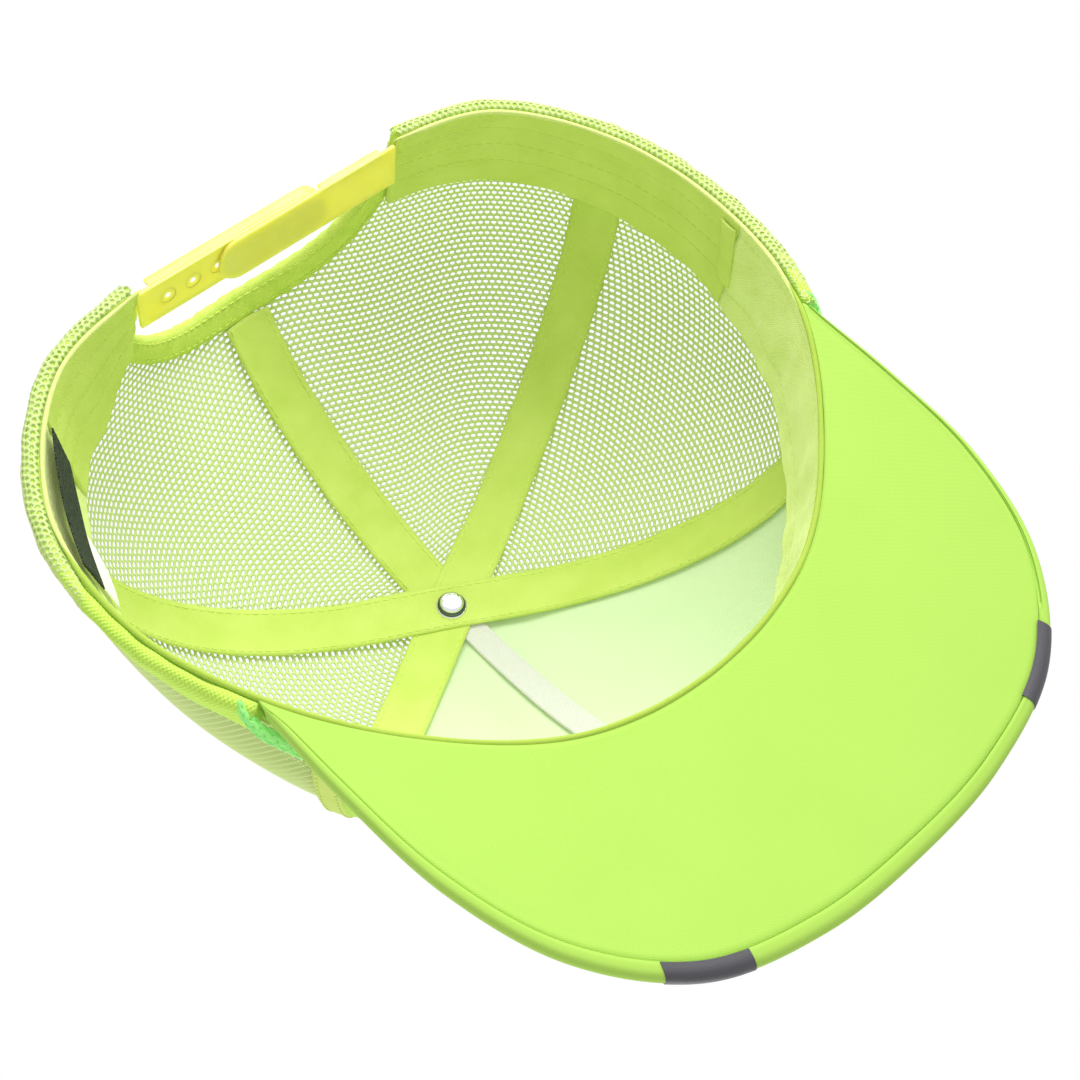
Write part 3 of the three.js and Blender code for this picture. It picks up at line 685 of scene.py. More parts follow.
def meshPanel(fromS, toS, arch):
    centre = (fromS + toS) / 2
    turns = np.linspace(0, math.pi / 2, 400)
    line = surfaceAt(np.full(400, centre), turns)
    heights = lengthsAlong(line)
    width = (toS - fromS) * pattern["rimLength"] + 16
    archWide = pattern["archHalfWidth"] + knit["archGrow"]
    archHigh = pattern["archHeight"] + knit["archGrow"]

    def chart(x, y):
        turn = np.interp(y, heights, turns)
        return centre + x / np.maximum(roundLength(centre + 0 * x, turn), 2.0), turn

    def archShare(s, turn):
        return np.hypot(rimShift(s) * pattern["rimLength"] / archWide, riseAt(s, turn) / archHigh)

    def keep(x, y):
        s, turn = chart(x, y)
        inside = (s > fromS) & (s < toS) & (turn > turnAtRise(s, clothRise(s)) + 0.004)
        inside &= turn < turnAtRadius(s, pattern["apexHole"])
        return inside & (archShare(s, turn) > 1) if arch else inside

    def place(x, y, offset):
        s, turn = chart(x, y)
        s = np.clip(s, fromS, toS)
        if arch:
            share = np.maximum(archShare(s, turn), 1e-3)
            inner = share < 1
            moved = rimShift(s) / share
            rise = riseAt(s, turn) / share
            s = np.where(inner, moved, rimShift(s))
            turn = np.where(inner, turnAtRise(s, rise), turn)
        turn = np.clip(turn, turnAtRise(s, clothRise(s)), turnAtRadius(s, pattern["apexHole"]))
        return crownAt(s, turn, knit["depth"] + offset + 0 * x)

    columns, rows = int(width / knit["across"]), int(heights[-1] / knit["along"]) + 1
    return latticePart(columns, rows, knit, keep, place)


def addMeshPanels():
    rear, front = pattern["sideRearSeam"], pattern["frontSideSeam"]
    spans = {
        "rear_mesh_left": (0, rear, True), "rear_mesh_right": (1 - rear, 1, True),
        "side_mesh_left": (rear, front, False), "side_mesh_right": (1 - front, 1 - rear, False),
    }
    for node, span in spans.items():
        addPiece(f"{node}_knit", [meshPanel(*span)], meshYarn, [node])


addMeshPanels()
print("mesh panels knitted")

# Front panels: woven shell outside, fused backing inside.
front = {"columns": 40, "rows": 56, "shell": (3.4, 4.5), "backing": (2.5, 3.2), "seamGap": 0.15,
         "height": 115, "wave": 0.25, "waveAcross": 9, "waveUp": 14}


def crownSheet(fromS, toS, layer, wave, seed):
    u, v = np.meshgrid(np.linspace(0, 1, front["columns"]), np.linspace(0, 1, front["rows"]), indexing="ij")
    s = fromS + (toS - fromS) * u
    low = turnAtRise(s, clothRise(s))
    turn = low + (turnAtRadius(s, pattern["apexHole"]) - low) * v
    s = s + front["seamGap"] * (1 - 2 * u) / roundLength(s, turn)
    x = (u - 0.5) * (toS - fromS) * pattern["rimLength"]
    y = v * front["height"]
    depth = wave * ripple(x / front["waveAcross"], y / front["waveUp"], seed) * np.sin(np.pi * u) ** 0.5
    return sheetPart(crownAt(s, turn, layer[0] + depth), crownAt(s, turn, layer[1] + depth),
                     np.stack([x, y], -1))


def addFrontPanels():
    seam = pattern["frontSideSeam"]
    for name, span, seed in (("left", (seam, 0.5), 3), ("right", (0.5, 1 - seam), 4)):
        addPiece(f"front_panel_{name}_shell", [crownSheet(*span, front["shell"], front["wave"], seed)],
                 panelCloth, [f"front_panel_{name}"])
        addPiece(f"front_panel_{name}_backing", [crownSheet(*span, front["backing"], front["wave"], seed)],
                 backingCloth, [f"front_backing_{name}"])


addFrontPanels()

# Seam tapes: three strips over the top of the crown, the last one nearest the head.
tape = {"width": 14.2, "thick": 0.45, "base": 1.55, "stack": 0.42, "steps": 130, "lanes": 12, "pucker": 0.2,
        "samples": 900, "stepLength": 1.7, "stitchInset": 1.3, "overArch": 7.0}
stitch = {"pitch": 2.7, "length": 2.1, "width": 0.42}


def halfLine(seam, startRise, endRadius):
    first = float(turnAtRise(np.float64(seam), startRise))
    last = float(turnAtRadius(np.float64(seam), endRadius)) if endRadius else math.pi / 2
    turns = np.linspace(first, last, tape["samples"])
    line = surfaceAt(np.full(len(turns), seam), turns)
    lengths = lengthsAlong(line)
    places = np.linspace(0, lengths[-1], tape["steps"] // 2)
    return np.interp(places, lengths, turns), pathAt(line, lengths, places)


# Points across the tape at each lane, from its centre line; near the top it runs straight on.
def tapeLanes(seam, turns, line, lanes, depth, flip):
    radius = np.hypot(line[:, 0], line[:, 1] - pattern["apexY"])
    spoke = surfaceAt(np.float64(seam), np.float64(0.3)) - (0, pattern["apexY"], 0)
    tangent = np.array([spoke[1], -spoke[0], 0]) / np.hypot(spoke[0], spoke[1])
    lanes = np.asarray(lanes)[None, :] * flip
    onward = roundLength(np.full(len(turns), seam), turns)[:, None]
    s = seam + np.clip(lanes / np.maximum(onward, 1), -0.12, 0.12)
    polar = crownAt(s, turns[:, None] + 0 * lanes, depth)
    x = line[:, 0:1] + tangent[0] * lanes
    y = line[:, 1:2] + tangent[1] * lanes
    planar = fromTop(x, y, depth)
    share = smoothStep(18, 42, radius)[:, None, None]
    return polar * share + planar * (1 - share)


def tapeSurface(seams, startRises, lanes, level, lift):
    pieces = []
    half = tape["steps"] // 2
    lift = np.broadcast_to(lift, (2 * half - 1 if len(seams) == 2 else half, len(lanes)))
    for k, (seam, rise) in enumerate(zip(seams, startRises)):
        turns, line = halfLine(seam, rise, 0 if len(seams) == 2 else 2.0)
        radius = np.hypot(line[:, 0], line[:, 1] - pattern["apexY"])[:, None]
        near = 1 - smoothStep(14, 34, radius)
        depth = tape["base"] - tape["stack"] * level * near + (lift[::-1] if k else lift)[:half]
        points = tapeLanes(seam, turns, line, lanes, depth, -1 if k else 1)
        pieces.append(points if k == 0 else points[::-1])
    if len(pieces) == 2:
        middle = (pieces[0][-1] + pieces[1][0]) / 2
        joined = np.concatenate([pieces[0][:-1], middle[None], pieces[1][1:]])
        smooth = joined.copy()
        for _ in range(8):  # eases the slight bend over the top
            smooth[1:-1] = (smooth[:-2] + 2 * smooth[1:-1] + smooth[2:]) / 4
        span = np.arange(len(joined))
        share = np.exp(-((span - len(joined) / 2) / 9) ** 2)[:, None, None]
        return joined * (1 - share) + smooth * share
    return pieces[0]


def addTape(name, seams, startRises, level, width, material, stands, seed, stitched=True, rumple=0.0):
    lanes = np.linspace(-width / 2, width / 2, tape["lanes"])
    count = tape["steps"] - 1 if len(seams) == 2 else tape["steps"] // 2
    x = np.linspace(0, count * tape["stepLength"], count)[:, None]
    pucker = tape["pucker"] * ripple(x / 1.6, lanes[None] / 3, seed) * (np.abs(lanes) / width * 2)[None] ** 2
    pucker = pucker + rumple * ripple(x / 2.4, lanes[None] / 11, seed + 7)
    inner = tapeSurface(seams, startRises, lanes, level, pucker - tape["thick"])
    outer = tapeSurface(seams, startRises, lanes, level, pucker)
    cloth = np.stack(np.broadcast_arrays(lanes[None] + 40 * seed, x), -1)
    addPiece(name, [sheetPart(inner, outer, cloth)], material, stands)
    if not stitched:
        return
    rows = []
    for lane in (-width / 2 + tape["stitchInset"], width / 2 - tape["stitchInset"]):
        path = tapeSurface(seams, startRises, [lane, lane + 0.01], level, -tape["thick"] - 0.02)[:, 0]
        below = tapeSurface(seams, startRises, [lane, lane + 0.01], level, -tape["thick"] - 1.02)[:, 0]
        rows.append(stitchPart(path, below - path, stitch))
    addPiece(f"{name}_stitches", rows, threadCloth)


def addTapes():
    rear, side = pattern["sideRearSeam"], pattern["frontSideSeam"]
    overArch = pattern["archHeight"] + tape["overArch"]
    start = [float(clothRise(np.float64(s))) + 0.4 for s in (rear, side)]
    addTape("rear_tape_woven", [0.0], [overArch], 0, tape["width"], tapeCloth, ["rear_tape"], 1,
            rumple=0.35)
    addTape("tape_right_rear_to_left_front", [1 - rear, side], start, 1, tape["width"], tapeCloth,
            ["side_rear_tape_right", "front_side_tape_left"], 2)
    addTape("tape_left_rear_to_right_front", [rear, 1 - side], start, 2, tape["width"], tapeCloth,
            ["side_rear_tape_left", "front_side_tape_right"], 3)
    frontRise = float(clothRise(np.float64(0.5))) + 0.4
    addTape("front_seam_strip_white", [0.5], [frontRise], -0.6, 7.5, stripCloth,
            ["front_seam_strip"], 4, stitched=False)


addTapes()
print("tapes sewn")

# Rolled hem of the mesh: (rise above the rim, depth) round its section.
hem = {
    "section": [(13, 2.3), (12.6, 1.6), (8, 1.45), (3, 1.45), (1, 1.5), (0.1, 1.9), (-0.5, 2.9), (-0.2, 4.1),
                (1.0, 5.0), (3.2, 5.2), (6, 4.9), (9.5, 4.4), (12.6, 4.0), (13.4, 3.6)],
    "from": 45.0, "fromLeft": 42.8, "to": 182.5, "pitch": 1.6, "lump": 0.45, "core": 2.6,
}
hemKnit = {"across": 1.7, "along": 1.35, "holeAcross": 0.5, "holeAlong": 0.42, "zigzag": 0.24, "yarn": 0.3,
           "toLeft": 136.0, "firstPoint": 3, "lastPoint": 11}


def hemPoints(s, rise, depth):
    point = crownAt(s, turnAtRise(s, np.maximum(rise, 0)), depth)
    point[..., 2] += np.minimum(rise, 0)
    return point


# The knit drawn over the roll, from firstPoint of the section round its outer face to lastPoint.
def hemKnitPart(side, seed, start, reach):
    section = np.array(hem["section"], float)
    steps = lengthsAlong(section)
    low, high = steps[hemKnit["firstPoint"]], steps[hemKnit["lastPoint"]]
    middle = (start + hem["to"]) / 2

    def sectionAt(here):
        return np.array([np.interp(here, steps, section[:, 0]), np.interp(here, steps, section[:, 1])])

    def keep(x, y):
        along = x + middle
        return (y + low < high) & (along > start + 1) & (along < reach - 1)

    def place(x, y, offset):
        along = np.clip(x + middle, start + 0.3, hem["to"] - 0.3)
        here = np.clip(y + low, 0, steps[-1])
        rise, depth = sectionAt(here)
        toRise, toDepth = sectionAt(here + 0.6) - sectionAt(here - 0.6)
        size = np.hypot(toRise, toDepth) + 1e-9
        swell = hem["lump"] * ripple(along / 2.3, rise, seed) * np.sign(depth - section[:, 1].mean())
        out = 0.2 + offset + 0.3 * ripple(along / 1.1, here / 0.9, seed + 5)
        along = along + 0.35 * ripple(along / 1.4, here / 1.2, seed + 6)
        out = out - 0.5 * smoothStep(reach - 22, reach, along)
        return hemPoints(side * along / pattern["rimLength"], rise - toDepth / size * out,
                         depth + swell + toRise / size * out)

    columns = int((hem["to"] - start) / hemKnit["across"])
    return latticePart(columns, int((high - low) / hemKnit["along"]) + 1, hemKnit, keep, place)


def addHem():
    section = np.array(hem["section"], float)
    steps = lengthsAlong(section)
    sectionRise, sectionDepth = section.T[:, None]
    for name, side, seed, start, reach in (("left", 1, 11, hem["fromLeft"], hemKnit["toLeft"]),
                                           ("right", -1, 12, hem["from"], hem["to"])):
        distance = np.arange(start, hem["to"], hem["pitch"])[:, None]
        s = side * distance / pattern["rimLength"]
        swell = hem["lump"] * ripple(distance / 2.3, sectionRise, seed)
        depth = sectionDepth + swell * np.sign(sectionDepth - sectionDepth.mean())
        ends = smoothStep(0, 4, distance - start)
        depth = hem["core"] + (depth - hem["core"]) * (0.55 + 0.45 * ends)
        cloth = np.stack(np.broadcast_arrays(distance, steps[None]), -1)
        rise = sectionRise + 0 * s
        addPiece(f"mesh_hem_{name}", [tubePart(hemPoints(s + 0 * rise, rise, depth), cloth)], hemBase)
        addPiece(f"mesh_hem_knit_{name}", [hemKnitPart(side, seed, start, reach)], meshYarn)


addHem()
print("hem rolled")

# Binding folded over the arch's edge: (way up from the gap's edge, depth) round its section.
binding = {
    "inner": [(7.0, 2.1), (6.9, 1.5), (5.4, 1.15), (3.0, 1.05), (1.1, 1.15), (0.1, 1.7)],
    "outer": [(-0.4, 2.8), (0.1, 4.0), (1.4, 4.6), (3.2, 4.65), (5.6, 4.45), (6.9, 4.1), (7.0, 3.7)],
    "steps": 220, "pucker": 0.42,
}


def archPath(grow, angle, depth):
    s = (pattern["archHalfWidth"] + grow) * np.cos(angle) / pattern["rimLength"]
    rise = (pattern["archHeight"] + grow) * np.sin(angle)
    return crownAt(s, turnAtRise(s, rise), depth)


def addBinding():
    section = np.array(binding["inner"] + binding["outer"], float)
    angle = np.linspace(0, np.pi, binding["steps"])[:, None]
    along = angle * 48
    pucker = binding["pucker"] * ripple(along / 2.2 + section[None, :, 0] * 0.5, section[None, :, 0] / 2, 21)
    outward = np.where(np.arange(len(section)) < len(binding["inner"]), -0.45, 1.0)[None]
    twist = 0.35 * np.sin(along / 0.75 + section[None, :, 0] * 1.4) * (outward > 0)
    rings = archPath(section[None, :, 0] + 0 * angle, angle + 0 * section[None, :, 0],
                     section[None, :, 1] + (pucker + twist * 0.6) * outward)
    cloth = np.stack(np.broadcast_arrays(along, lengthsAlong(section)[None]), -1)
    addPiece("rear_arch_binding_folded", [tubePart(rings, cloth)], bindingCloth,
             ["rear_arch_binding"])
    fine = np.linspace(0.02, np.pi - 0.02, 500)
    rows = []
    for grow, depth, way in ((1.5, 0.98, -1), (5.9, 1.1, -1), (1.6, 4.75, 1), (5.9, 4.45, 1)):
        path = archPath(grow + 0 * fine, fine, depth + 0 * fine)
        rows.append(stitchPart(path, way * crownNormal(fine * 0, 0.3 + fine * 0), stitch))
    addPiece("rear_arch_binding_stitches", rows, deepThread)


addBinding()

# Sweatband: rear twill and the paler front band over it. Lean is how far the free edge leans inward.
band = {
    "width": 31.0, "thick": 1.0, "archEnd": 45.2, "archEndLeft": 42.4, "leftEnd": 0.15, "rightEnd": 0.739,
    "rows": 22, "stitch": {"pitch": 2.9, "length": 2.3, "width": 0.42},
    "frontSeams": (3.2, 24.5), "rearSeams": (7, 14.5, 22),
    "leanLeft": [(0.07, -7), (0.115, 3), (0.18, 6), (0.24, 7), (0.34, 4), (0.5, 2)],
    "leanRight": [(0.07, -7), (0.15, -4.5), (0.22, -2), (0.29, 2.5), (0.34, 2), (0.5, 2)],
}


def leanAt(s):
    half = np.minimum(np.mod(s, 1), 1 - np.mod(s, 1))
    leans = []
    for steps in (band["leanLeft"], band["leanRight"]):
        lean = 0 * half + steps[0][1]
        for (fromS, _), (toS, value) in zip(steps, steps[1:]):
            lean = lean + (value - lean) * smoothStep(fromS, toS, half)
        leans.append(lean)
    return np.where(np.mod(s, 1) <= 0.5, leans[0], leans[1])


def bandAt(s, rise, depth):
    s, rise, depth = np.broadcast_arrays(s, rise, np.asarray(depth, float))
    lean = leanAt(s) * rise / band["width"]
    height = np.sqrt(np.maximum(rise**2 - lean**2, 0))
    point = rimAt(s) + outwardAt(s) * (depth - lean)[..., None]
    point[..., 2] += height
    return point


def bandWave(s, rise, seed, size, low=2.0):
    x = s * pattern["rimLength"]
    folds = ripple(x / 5.5, rise / 16, seed) + 0.7 * ripple(x / 2.4, rise / 6, seed + 1)
    return size * folds * smoothStep(low, low + 8, rise)


def bandPart(fromS, toS, seed, size, seams):
    columns = max(int((toS - fromS) * pattern["rimLength"] / 1.6), 6)
    profile = np.concatenate([[0.0, 0.4, 1.2], np.linspace(2.4, band["width"] - 1.2, band["rows"]),
                              [band["width"] - 0.4, band["width"]]])
    s, rise = np.meshgrid(np.linspace(fromS, toS, columns), profile, indexing="ij")
    wave = bandWave(s, rise, seed, size)
    groove = sum(0.4 * np.exp(-((rise - seam) / 1.3) ** 2) for seam in seams)
    roll = 0.45 * np.exp(-((rise - band["width"]) / 1.4) ** 2)
    cloth = np.stack([s * pattern["rimLength"], rise], -1)
    inner = bandAt(s, rise, wave + groove - roll)
    return sheetPart(inner, bandAt(s, rise, band["thick"] + wave * 0.6), cloth)


def bandStitches(fromS, toS, rises, seed, size):
    rows = []
    s = np.linspace(fromS, toS, int((toS - fromS) * pattern["rimLength"] * 2))
    for rise in rises:
        wave = bandWave(s, 0 * s + rise, seed, size)
        rows.append(stitchPart(bandAt(s, 0 * s + rise, wave + 0.38), -outwardAt(s), band["stitch"]))
    return rows


def addSweatband():
    joint = 0.3 / pattern["rimLength"]
    arch, archLeft = (band[end] / pattern["rimLength"] for end in ("archEnd", "archEndLeft"))
    left, right = band["leftEnd"], band["rightEnd"]
    frontSeams, rearSeams = band["frontSeams"], band["rearSeams"]
    addPiece("sweatband_front_brushed", [bandPart(left, right, 31, 0.95, frontSeams)], brushedCloth,
             ["sweatband_front"])
    addPiece("sweatband_rear_left_twill", [bandPart(archLeft, left - joint, 33, 0.35, rearSeams)], bandCloth,
             ["sweatband_rear_left"])
    addPiece("sweatband_rear_right_twill", [bandPart(right + joint, 1 - arch, 35, 0.4, rearSeams)], bandCloth,
             ["sweatband_rear_right"])
    u, v = np.meshgrid(np.linspace(0, 1, 14), np.linspace(0, 1, 24), indexing="ij")
    s = right - 0.004 + 0.0105 * u + 0.005 * (1 - v)  # the front band's end, folded back over the joint
    lift = -0.75 - 0.5 * u * (1 - u) * 4 + bandWave(s, 26 * v, 37, 0.4)
    cloth = np.stack([s * pattern["rimLength"], 26 * v], -1)
    rise = 2.2 + 20 * v
    addPiece("sweatband_folded_end", [sheetPart(bandAt(s, rise, lift), bandAt(s, rise, lift + 0.7), cloth)],
             bandCloth)
    addPiece("sweatband_front_stitches", bandStitches(left, right, frontSeams, 31, 0.95), threadCloth)
    rows = bandStitches(right + joint, 1 - arch, rearSeams, 35, 0.4)
    rows += bandStitches(arch, left - joint, rearSeams, 33, 0.35)
    addPiece("sweatband_rear_stitches", rows, deepThread)


# A soft roll along the rim, where the sweatband turns under: (from, to, radius, depth, drop).
rolls = {
    "rim_edge_front": (0.205, 0.7, 0.75, 0.7, 0.1, edgeCloth),
    "rim_edge_left": (0.0712, 0.212, 0.6, 0.55, 0.1, paleEdge),
    "rim_edge_right": (0.694, 0.9245, 0.6, 0.55, 0.1, paleEdge),
}


def rollPart(path, radius, wobble, seed, sides=10):
    _, side, up = frameAlong(path)
    angle = np.linspace(0, 2 * np.pi, sides, endpoint=False)[None, :, None]
    length = np.arange(len(path))[:, None, None]
    ends = smoothStep(-3, 10, np.minimum(length, len(path) - length))
    size = radius * ends * (1 + wobble * ripple(length / 2.5, angle * 0.8, seed))
    rings = path[:, None] + size * (np.cos(angle) * side[:, None] + np.sin(angle) * up[:, None])
    return tubePart(rings)


def addRolls():
    for name, (fromS, toS, radius, depth, drop, cloth) in rolls.items():
        s = np.linspace(fromS, toS, int((toS - fromS) * pattern["rimLength"] / 1.2))
        path = rimAt(s) + outwardAt(s) * depth
        path[:, 2] += drop
        addPiece(name, [rollPart(path, radius, 0.12, 41)], cloth)


addSweatband()
addRolls()
print("sweatband sewn")

labels = {
    "brand": {"from": 0.151, "to": 0.218, "low": 0.3, "high": 15, "depth": -1.3, "thick": 0.4,
              "bridge": 1.8},
    "care": {"from": 0.176, "to": 0.213, "low": 12, "high": 30.8, "depth": -1.2, "thick": 0.25,
             "bridge": 1.6},
}


def addLabel(name, look, material, node, curl):
    u, v = np.meshgrid(np.linspace(0, 1, 44), np.linspace(0, 1, 22), indexing="ij")
    s = look["from"] + (look["to"] - look["from"]) * u
    rise = look["low"] + (look["high"] - look["low"]) * v
    wave = curl * (ripple(u * 5, v * 3, 51) - 1.2 * v * np.sin(np.pi * u)) + 0.05 * np.sin(v * 90)
    wave = wave - look["bridge"] * np.sin(np.pi * u) ** 0.8
    cloth = np.stack([u * (look["to"] - look["from"]) * pattern["rimLength"], rise], -1)
    face = look["depth"] + wave
    part = sheetPart(bandAt(s, rise, face), bandAt(s, rise, face + look["thick"]), cloth)
    addPiece(name, [part], material, [node])


addLabel("brand_label_blank", labels["brand"], labelCloth, "brand_label", 0.35)
addLabel("care_label_blank", labels["care"], satinCloth, "care_label", 0.15)

# Visor: q runs across it from 1 at the left to -1 at the right, distance from the crown to the edge.
visor = {
    "half": [(87.5, -44.5), (87.5, -73.5), (85, -102.5), (75.5, -129.5), (56, -150), (28.5, -159), (0, -161)],
    "crown": 10.1, "drop": 11.3, "pitch": 0.025, "span": 0.985, "rootOffset": 1.4,
    "cover": 0.6, "fold": 3.2, "top": 3.8, "lines": 190, "edgeClear": 0.7, "dropAt": 90,
    "topRows": (9, 16, 23, 30, 37, 44), "topStitch": {"pitch": 3.4, "length": 2.7, "width": 0.5},
}
visorHalf = np.array([(x, y, 0) for x, y in visor["half"]], float)
visorPoints = np.vstack([visorHalf, visorHalf[-2::-1] * (-1, 1, 1)])


def visorS(q):
    return 0.5 - (0.5 - pattern["visorCorner"]) * q


def visorHeight(x, y):
    rimFront = pattern["rimHalf"][-1][1]
    return visor["crown"] - visor["drop"] * (x / visor["dropAt"]) ** 2 + visor["pitch"] * (y - rimFront)


def visorLine(q):
    s = visorS(q)
    root = rimAt(s) + outwardAt(s) * visor["rootOffset"]
    edge = splineAt(visorPoints, (1 - q) / 2, False)
    root[..., 2] = 0
    return root, edge, np.linalg.norm(edge - root, axis=-1)


def onVisor(q, distance, height):
    root, edge, length = visorLine(q)
    point = root + (edge - root) * (distance / length)[..., None]
    point[..., 2] = visorHeight(point[..., 0], point[..., 1]) + height
    return point


# The cover is folded under further on the left than towards the right, as it was sewn.
def foldAt(length, q):
    return np.minimum(visor["fold"] * (1 - 0.62 * smoothStep(0.1, -0.75, q)), 0.35 * length)


def sectionNormals(section):
    along = np.gradient(section, axis=-2)
    return unit(np.stack([along[..., 1], -along[..., 0]], -1))


# Section of the cover from the crown over the top, round the edge and under, as (distance, height).
def wrapSection(length, clear, under, grow, startShare):
    edge = length - clear + grow
    top, radius = visor["top"] + grow, (visor["top"] + 2 * grow) / 2
    start = edge * startShare
    over = [(start + (edge - radius - start) * k, top + 0 * edge) for k in np.linspace(0, 1, 9)]
    bend = [(edge - radius + radius * np.sin(a), top - radius + radius * np.cos(a))
            for a in np.linspace(0.15, np.pi, 11)]
    below = [(edge - radius + (radius - under) * k, -grow - 0.1 * np.sin(np.pi * k) + 0 * edge)
             for k in np.linspace(0.3, 1, 5)]
    return np.stack([np.stack(np.broadcast_arrays(*p), -1) for p in over + bend + below], -2)


def wrapPart(q, clear, under, thick, grow, startShare, ripples):
    _, _, length = visorLine(q)
    outer = wrapSection(length, clear, under if under else foldAt(length, q), grow, startShare)
    inner = outer - thick * sectionNormals(outer)
    count = outer.shape[-2]
    wave = ripples * ripple(np.arange(len(q))[:, None] / 2.1, np.arange(count)[None] / 4, 61)
    wave = wave * smoothStep(count * 0.45, count * 0.8, np.arange(count))[None]
    outer = outer + sectionNormals(outer) * wave[..., None]
    rings = np.concatenate([outer, inner[:, ::-1]], 1)
    spread = q[:, None] + 0 * rings[..., 0]
    points = onVisor(spread, rings[..., 0], rings[..., 1])
    along = lengthsAlong(points[:, count // 2])
    steps = np.concatenate([np.arange(count), np.arange(count)[::-1]]) * 1.3
    cloth = np.stack(np.broadcast_arrays(along[:, None], steps[None]), -1)
    return tubePart(points, cloth)


def addVisor():
    q = np.linspace(visor["span"], -visor["span"], visor["lines"])
    addPiece("visor_top_cover_wrapped", [wrapPart(q, visor["edgeClear"], None, visor["cover"], 0, 0.0, 0.09)],
             visorCloth, ["visor_top_cover"], sharp=50)
    _, _, length = visorLine(q)
    reach = np.maximum(length - visor["edgeClear"] - foldAt(length, q) - 0.2, 1.5)
    v = np.concatenate([np.linspace(0, 0.94, 40), [0.965, 0.985, 0.995, 1.0]])
    spread, share = np.meshgrid(q, v, indexing="ij")
    distance = share * reach[:, None]
    edgeway = reach[:, None] - distance
    tuck = 0.4 * np.exp(-(edgeway / 0.5) ** 2) - 0.12 * np.exp(-((edgeway - 1.3) / 1.0) ** 2)
    swell = 0.12 * ripple(spread * 6, distance / 20, 62) - 0.12
    lower = onVisor(spread, distance, tuck + swell * smoothStep(0, 6, edgeway))
    upper = onVisor(spread, distance, np.maximum(visor["cover"] + 0 * tuck, tuck + 0.15))
    cloth = np.stack([lower[..., 0], lower[..., 1]], -1)
    addPiece("visor_under_cover_smooth", [sheetPart(lower, upper, cloth)], visorCloth,
             ["visor_under_cover"])
    rows = []
    for inset in visor["topRows"]:  # topstitching that holds the board
        fine = np.linspace(0.93, -0.93, 700)
        _, _, size = visorLine(fine)
        place = np.maximum(size - inset, 2.0)
        fits = size > inset + 4
        path = onVisor(fine, place, visor["top"] + 0.05)[fits]
        rows.append(stitchPart(path, path * 0 + (0, 0, 1.0), visor["topStitch"]))
    addPiece("visor_top_stitches", rows, threadCloth)
    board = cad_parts["visor_board"]
    board.data.materials.clear()
    board.data.materials.append(visorPlastic)


addVisor()
print("visor covered")

tab = {"stretch": (0.268, 0.384), "under": 3.6, "over": 5.0, "thick": 0.4, "grow": 0.45, "inset": 0.012,
       "stitch": {"pitch": 1.9, "length": 1.5, "width": 0.45}}


def addTabs():
    for name, side in (("left", 1), ("right", -1)):
        q = side * np.linspace(*tab["stretch"], 26)
        _, _, length = visorLine(q)
        share = 1 - tab["over"] / length.mean()
        part = wrapPart(q, visor["edgeClear"], tab["under"], tab["thick"], tab["grow"], share, 0.04)
        addPiece(f"reflective_tab_{name}", [part], reflectCloth, [f"visor_tab_{name}"],
                 sharp=50)
        rows = []
        for place in (tab["stretch"][0] + tab["inset"], tab["stretch"][1] - tab["inset"]):
            section = wrapSection(visorLine(np.array([side * place]))[2], visor["edgeClear"], tab["under"],
                                  tab["grow"] + 0.05, share)[0]
            across = np.full(len(section), side * place)
            path = onVisor(across, section[:, 0], section[:, 1])
            middle = onVisor(across, 0 * across + section[8:20, 0].mean() - 2, 0 * across + visor["top"] / 2)
            rows.append(stitchPart(path, path - middle, tab["stitch"]))
        addPiece(f"reflective_tab_stitches_{name}", rows, greyThread)


addTabs()

rope = {
    "radius": 2.45, "seat": 4.6, "standOff": 2.0, "clear": 0.3, "span": 0.92, "strands": 8, "lay": 13.0,
    "strand": 0.78, "step": 0.7,
    # how each end turns down over the corner and is sewn into the rim: (q, depth, rise)
    "tail": [(0.96, 5.9, 4.6), (0.99, 5.2, 2.3), (1.008, 4.2, 0.4), (1.018, 3.2, -0.9)],
}


def ropeLine():
    q = rope["span"] * (1 - 2 * np.linspace(0, 1, 90))
    s = visorS(q)
    near = smoothStep(0.7, rope["span"], np.abs(q))[:, None]
    path = rimAt(s) + outwardAt(s) * (rope["seat"] + rope["radius"] + rope["standOff"] * (1 - near) - near)
    path[:, 2] = visorHeight(path[:, 0], path[:, 1]) + visor["top"] + rope["radius"] + rope["clear"]
    ends = []
    for side in (1, -1):
        s = [np.float64(visorS(side * q)) for q, _, _ in rope["tail"]]
        ends.append([rimAt(at) + outwardAt(at) * depth + (0, 0, rise)
                     for at, (_, depth, rise) in zip(s, rope["tail"])])
    knots = np.array([*ends[0][::-1], *path[::6], path[-1], *ends[1]])
    return splineAt(knots, np.linspace(0, 1, 1200), False)


